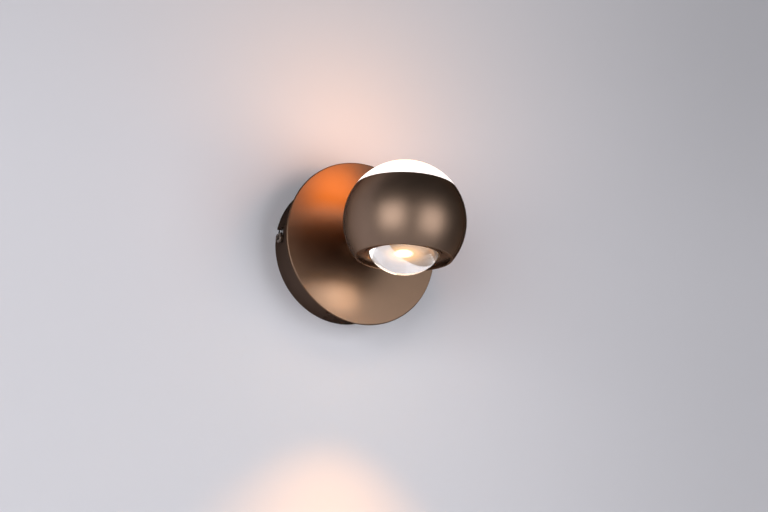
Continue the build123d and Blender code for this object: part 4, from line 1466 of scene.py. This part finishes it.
@dataclass
class SoftBox:
    """One soft lamp of the studio, which faces the light."""

    name: str
    azimuth: float
    elevation: float
    distance: float
    width: float
    height: float
    power: float
    colour: Colour = (1.0, 1.0, 1.0)

    def build(self, target: Vector) -> bpy.types.Object:
        """Hang the lamp and turn it to the target.

        Args:
            target: the point that it faces.

        Returns:
            The lamp.
        """
        side = math.radians(self.azimuth)
        rise = math.radians(self.elevation)
        away = Vector((math.sin(side) * math.cos(rise), -math.cos(side) * math.cos(rise),
                       math.sin(rise)))
        data = bpy.data.lights.new(self.name, "AREA")
        data.shape = "RECTANGLE"
        data.size = self.width
        data.size_y = self.height
        data.energy = self.power
        data.color = self.colour
        lamp = put_in_scene(self.name, data)
        lamp.location = target + away * self.distance
        lamp.rotation_mode = "QUATERNION"
        lamp.rotation_quaternion = away.to_track_quat("Z", "Y")
        lamp.visible_camera = False
        return lamp


@dataclass
class Studio:
    """The wall, the floor, the lamps and the camera of the photograph."""

    wall_half_width: float = 3.0
    wall_low: float = -1.2
    wall_high: float = 2.4
    wall_gap: float = 0.2 * MM
    wall_hole: float = 51.5 * MM
    wall_steps: int = 96
    wall_colours: tuple[Colour, Colour] = (linear(226, 226, 234), linear(231, 230, 237))
    roller: float = 3.0 * MM
    # How far and how much the wall's colour is painted darker to the right and upwards: painted
    # shade
    dim_right: tuple[float, float] = (0.04, 0.42)
    dim_right_by: float = 0.20
    dim_high: tuple[float, float] = (0.0, 0.28)
    dim_high_by: float = 0.12
    floor_reach: float = 4.0
    floor_colours: tuple[Colour, Colour] = (linear(214, 214, 216), linear(222, 221, 222))
    room: Colour = (0.03, 0.03, 0.032)
    sensor: float = 36.0
    focal_px: float = 1600.0
    frame_px: tuple[int, int] = (768, 512)
    middle_px: tuple[float, float] = (340.55, 253.93)
    turn_left: float = 28.52
    look_up: float = 16.39
    roll: float = 1.996
    distance: float = 1.1782
    boxes: list[SoftBox] = field(default_factory=lambda: [
        SoftBox("soft_box_left", -51.0, -5.0, 2.0, 1.45, 1.4, 21.0),
        SoftBox("soft_box_right", 20.0, -7.0, 2.0, 1.45, 1.4, 18.0),
        SoftBox("back_fill", 180.0, 0.0, 0.8, 0.8, 0.8, 3.0),
    ])

    def camera(self) -> bpy.types.Object:
        """Stand the camera where the photograph was taken.

        Returns:
            The camera.
        """
        side = math.radians(self.turn_left)
        rise = math.radians(self.look_up)
        roll = math.radians(self.roll)
        ahead = Vector((math.sin(side) * math.cos(rise), math.cos(side) * math.cos(rise),
                        math.sin(rise)))
        level_right = Vector((math.cos(side), -math.sin(side), 0.0))
        level_up = level_right.cross(ahead)
        right = level_right * math.cos(roll) + level_up * math.sin(roll)
        up = level_up * math.cos(roll) - level_right * math.sin(roll)
        width, height = self.frame_px
        across = (self.middle_px[0] - width / 2) / self.focal_px
        above = (height / 2 - self.middle_px[1]) / self.focal_px
        to_middle = (ahead + right * across + up * above).normalized()
        data = bpy.data.cameras.new("camera")
        data.sensor_width = self.sensor
        data.lens = self.focal_px / width * self.sensor
        camera = put_in_scene("camera", data)
        turned = Matrix((right, up, -ahead)).transposed().to_4x4()
        camera.matrix_world = Matrix.Translation(-to_middle * self.distance) @ turned
        bpy.context.scene.camera = camera
        return camera

    def wall_material(self) -> bpy.types.Material:
        """Paint the wall's front, and let everything through its back.

        Returns:
            The wall's material, whose colour is painted darker to the right and upwards, as painted
            shade.
        """
        nodes = Paint("wall_paint")
        where = nodes.place()
        roller = nodes.noise(where, self.roller, detail=3.0)
        tone = nodes.noise(where, 0.5, detail=1.0)
        # painted shade: the wall's colour is mixed towards black to the right and upwards
        left = 1.0 - nodes.axis(where, "X").between(*self.dim_right) * self.dim_right_by
        low = 1.0 - nodes.axis(where, "Z").between(*self.dim_high) * self.dim_high_by
        paint = nodes.mix(tone, *self.wall_colours)
        nodes.set(Base_Color=nodes.mix(1.0 - left * low, paint, BLACK), Roughness=0.85,
                  Normal=nodes.bump(roller, 0.05 * MM, 0.1))
        behind = nodes.node("ShaderNodeNewGeometry", output="Backfacing")
        clear = nodes.node("ShaderNodeBsdfTransparent")
        both = nodes.node("ShaderNodeMixShader", None,
                          {0: behind, 1: Signal(nodes, nodes.shader.outputs[0]), 2: clear})
        nodes.tree.links.new(both.socket, nodes.output.inputs["Surface"])
        return nodes.material

    def wall(self) -> bpy.types.Object:
        """Make the wall, with a hole behind the canopy so that the light's back can be seen.

        Returns:
            The wall.
        """
        steps = self.wall_steps
        corners = [(self.wall_half_width, self.wall_high), (-self.wall_half_width, self.wall_high),
                   (-self.wall_half_width, self.wall_low), (self.wall_half_width, self.wall_low)]
        ring = [(self.wall_hole * math.cos(math.tau * i / steps),
                 self.wall_hole * math.sin(math.tau * i / steps)) for i in range(steps)]
        points = [(x, self.wall_gap, z) for x, z in ring + corners]
        quarter = steps // 4
        faces = []
        for q in range(4):
            corner = steps + q
            start = q * quarter
            for i in range(start, start + quarter):
                faces.append((corner, (i + 1) % steps, i))
            faces.append((corner, steps + (q + 1) % 4, (start + quarter) % steps))
        mesh = bpy.data.meshes.new("wall")
        mesh.from_pydata(points, [], faces)
        mesh.materials.append(self.wall_material())
        wall = put_in_scene("wall", mesh)
        return wall

    def floor(self) -> bpy.types.Object:
        """Make the pale floor, far below the light.

        Returns:
            The floor.
        """
        reach = self.floor_reach
        corners = [(-reach, -reach), (reach, -reach), (reach, reach), (-reach, reach)]
        mesh = bpy.data.meshes.new("floor")
        mesh.from_pydata([(x, y, self.wall_low) for x, y in corners], [], [(0, 1, 2, 3)])
        nodes = Paint("floor_paint")
        tone = nodes.noise(nodes.place(), 0.4)
        nodes.set(Base_Color=nodes.mix(tone, *self.floor_colours), Roughness=0.7)
        mesh.materials.append(nodes.material)
        floor = put_in_scene("floor", mesh)
        return floor

    def world(self) -> None:
        """Fill the room with a dim, even light."""
        world = bpy.data.worlds.new("room")
        world.use_nodes = True
        back = world.node_tree.nodes["Background"]
        back.inputs["Color"].default_value = rgba(self.room)
        back.inputs["Strength"].default_value = 1.0
        bpy.context.scene.world = world

    def build(self) -> None:
        """Set up the whole stage."""
        self.camera()
        self.wall()
        self.floor()
        self.world()
        for box in self.boxes:
            box.build(Vector())
        bpy.context.scene.view_settings.view_transform = "Standard"


@dataclass
class HeadLamp:
    """One lamp that stands for a part of the light's own light, and turns with the head.

    Its place is given from the middle of the ball.
    """

    name: str
    kind: str
    colour: Colour
    power: float
    place: Point
    radius: float
    tilt: float = 0.0
    cone: float = 80.0
    blend: float = 0.7

    def build(self, middle: Vector) -> bpy.types.Object:
        """Hang the lamp in the head.

        Args:
            middle: the middle of the ball.

        Returns:
            The lamp.
        """
        data = bpy.data.lights.new(self.name, self.kind)
        data.energy = self.power
        data.color = self.colour
        if self.kind == "AREA":
            data.shape = "DISK"
            data.size = self.radius * 2
        else:
            data.shadow_soft_size = self.radius
        if self.kind == "SPOT":
            data.spot_size = math.radians(self.cone)
            data.spot_blend = self.blend
        lamp = put_in_scene(self.name, data)
        lamp.location = middle + Vector(self.place)
        lamp.rotation_euler = (math.radians(self.tilt), 0.0, 0.0)
        lamp.visible_camera = lamp.visible_transmission = False
        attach(lamp, "head")
        return lamp


def head_lamps() -> list[HeadLamp]:
    """List the lamps for the dome's light up and back, and for the lens's light down and back.

    Returns:
        The lamps.
    """
    return [
        HeadLamp("upper_beam", "AREA", (1.0, 0.46, 0.12), 0.078, (0.0, 0.0, 53.0 * MM),
                 20.0 * MM, tilt=180.0),
        HeadLamp("upper_glow", "POINT", (1.0, 0.28, 0.0), 0.093, (4.0 * MM, 0.0, 58.0 * MM),
                 20.0 * MM),
        HeadLamp("lower_beam", "SPOT", (1.0, 0.46, 0.12), 2.7, (0.0, 0.0, -16.0 * MM), 6.0 * MM),
        HeadLamp("lens_glow", "POINT", (1.0, 0.88, 0.74), 0.012, (0.0, 33.0 * MM, -34.0 * MM),
                 12.0 * MM),
    ]


def main() -> None:
    """Build the scene."""
    logging.basicConfig(level=logging.INFO, format="%(name)s: %(message)s")
    paintbox = Paintbox()
    for node in paintbox.slots:
        paintbox.dress(node)
    Studio().build()
    bench = Bench(paintbox)
    for assembly in (WallBracket(), Canopy(), Head()):
        assembly.build(bench)
    for lamp in head_lamps():
        lamp.build(Vector((0.0, BALL_Y, 0.0)))
    for name in ("down_lens", "reflector_cup"):
        frame["nodes"][name].visible_shadow = False


if __name__ == "__main__":
    main()
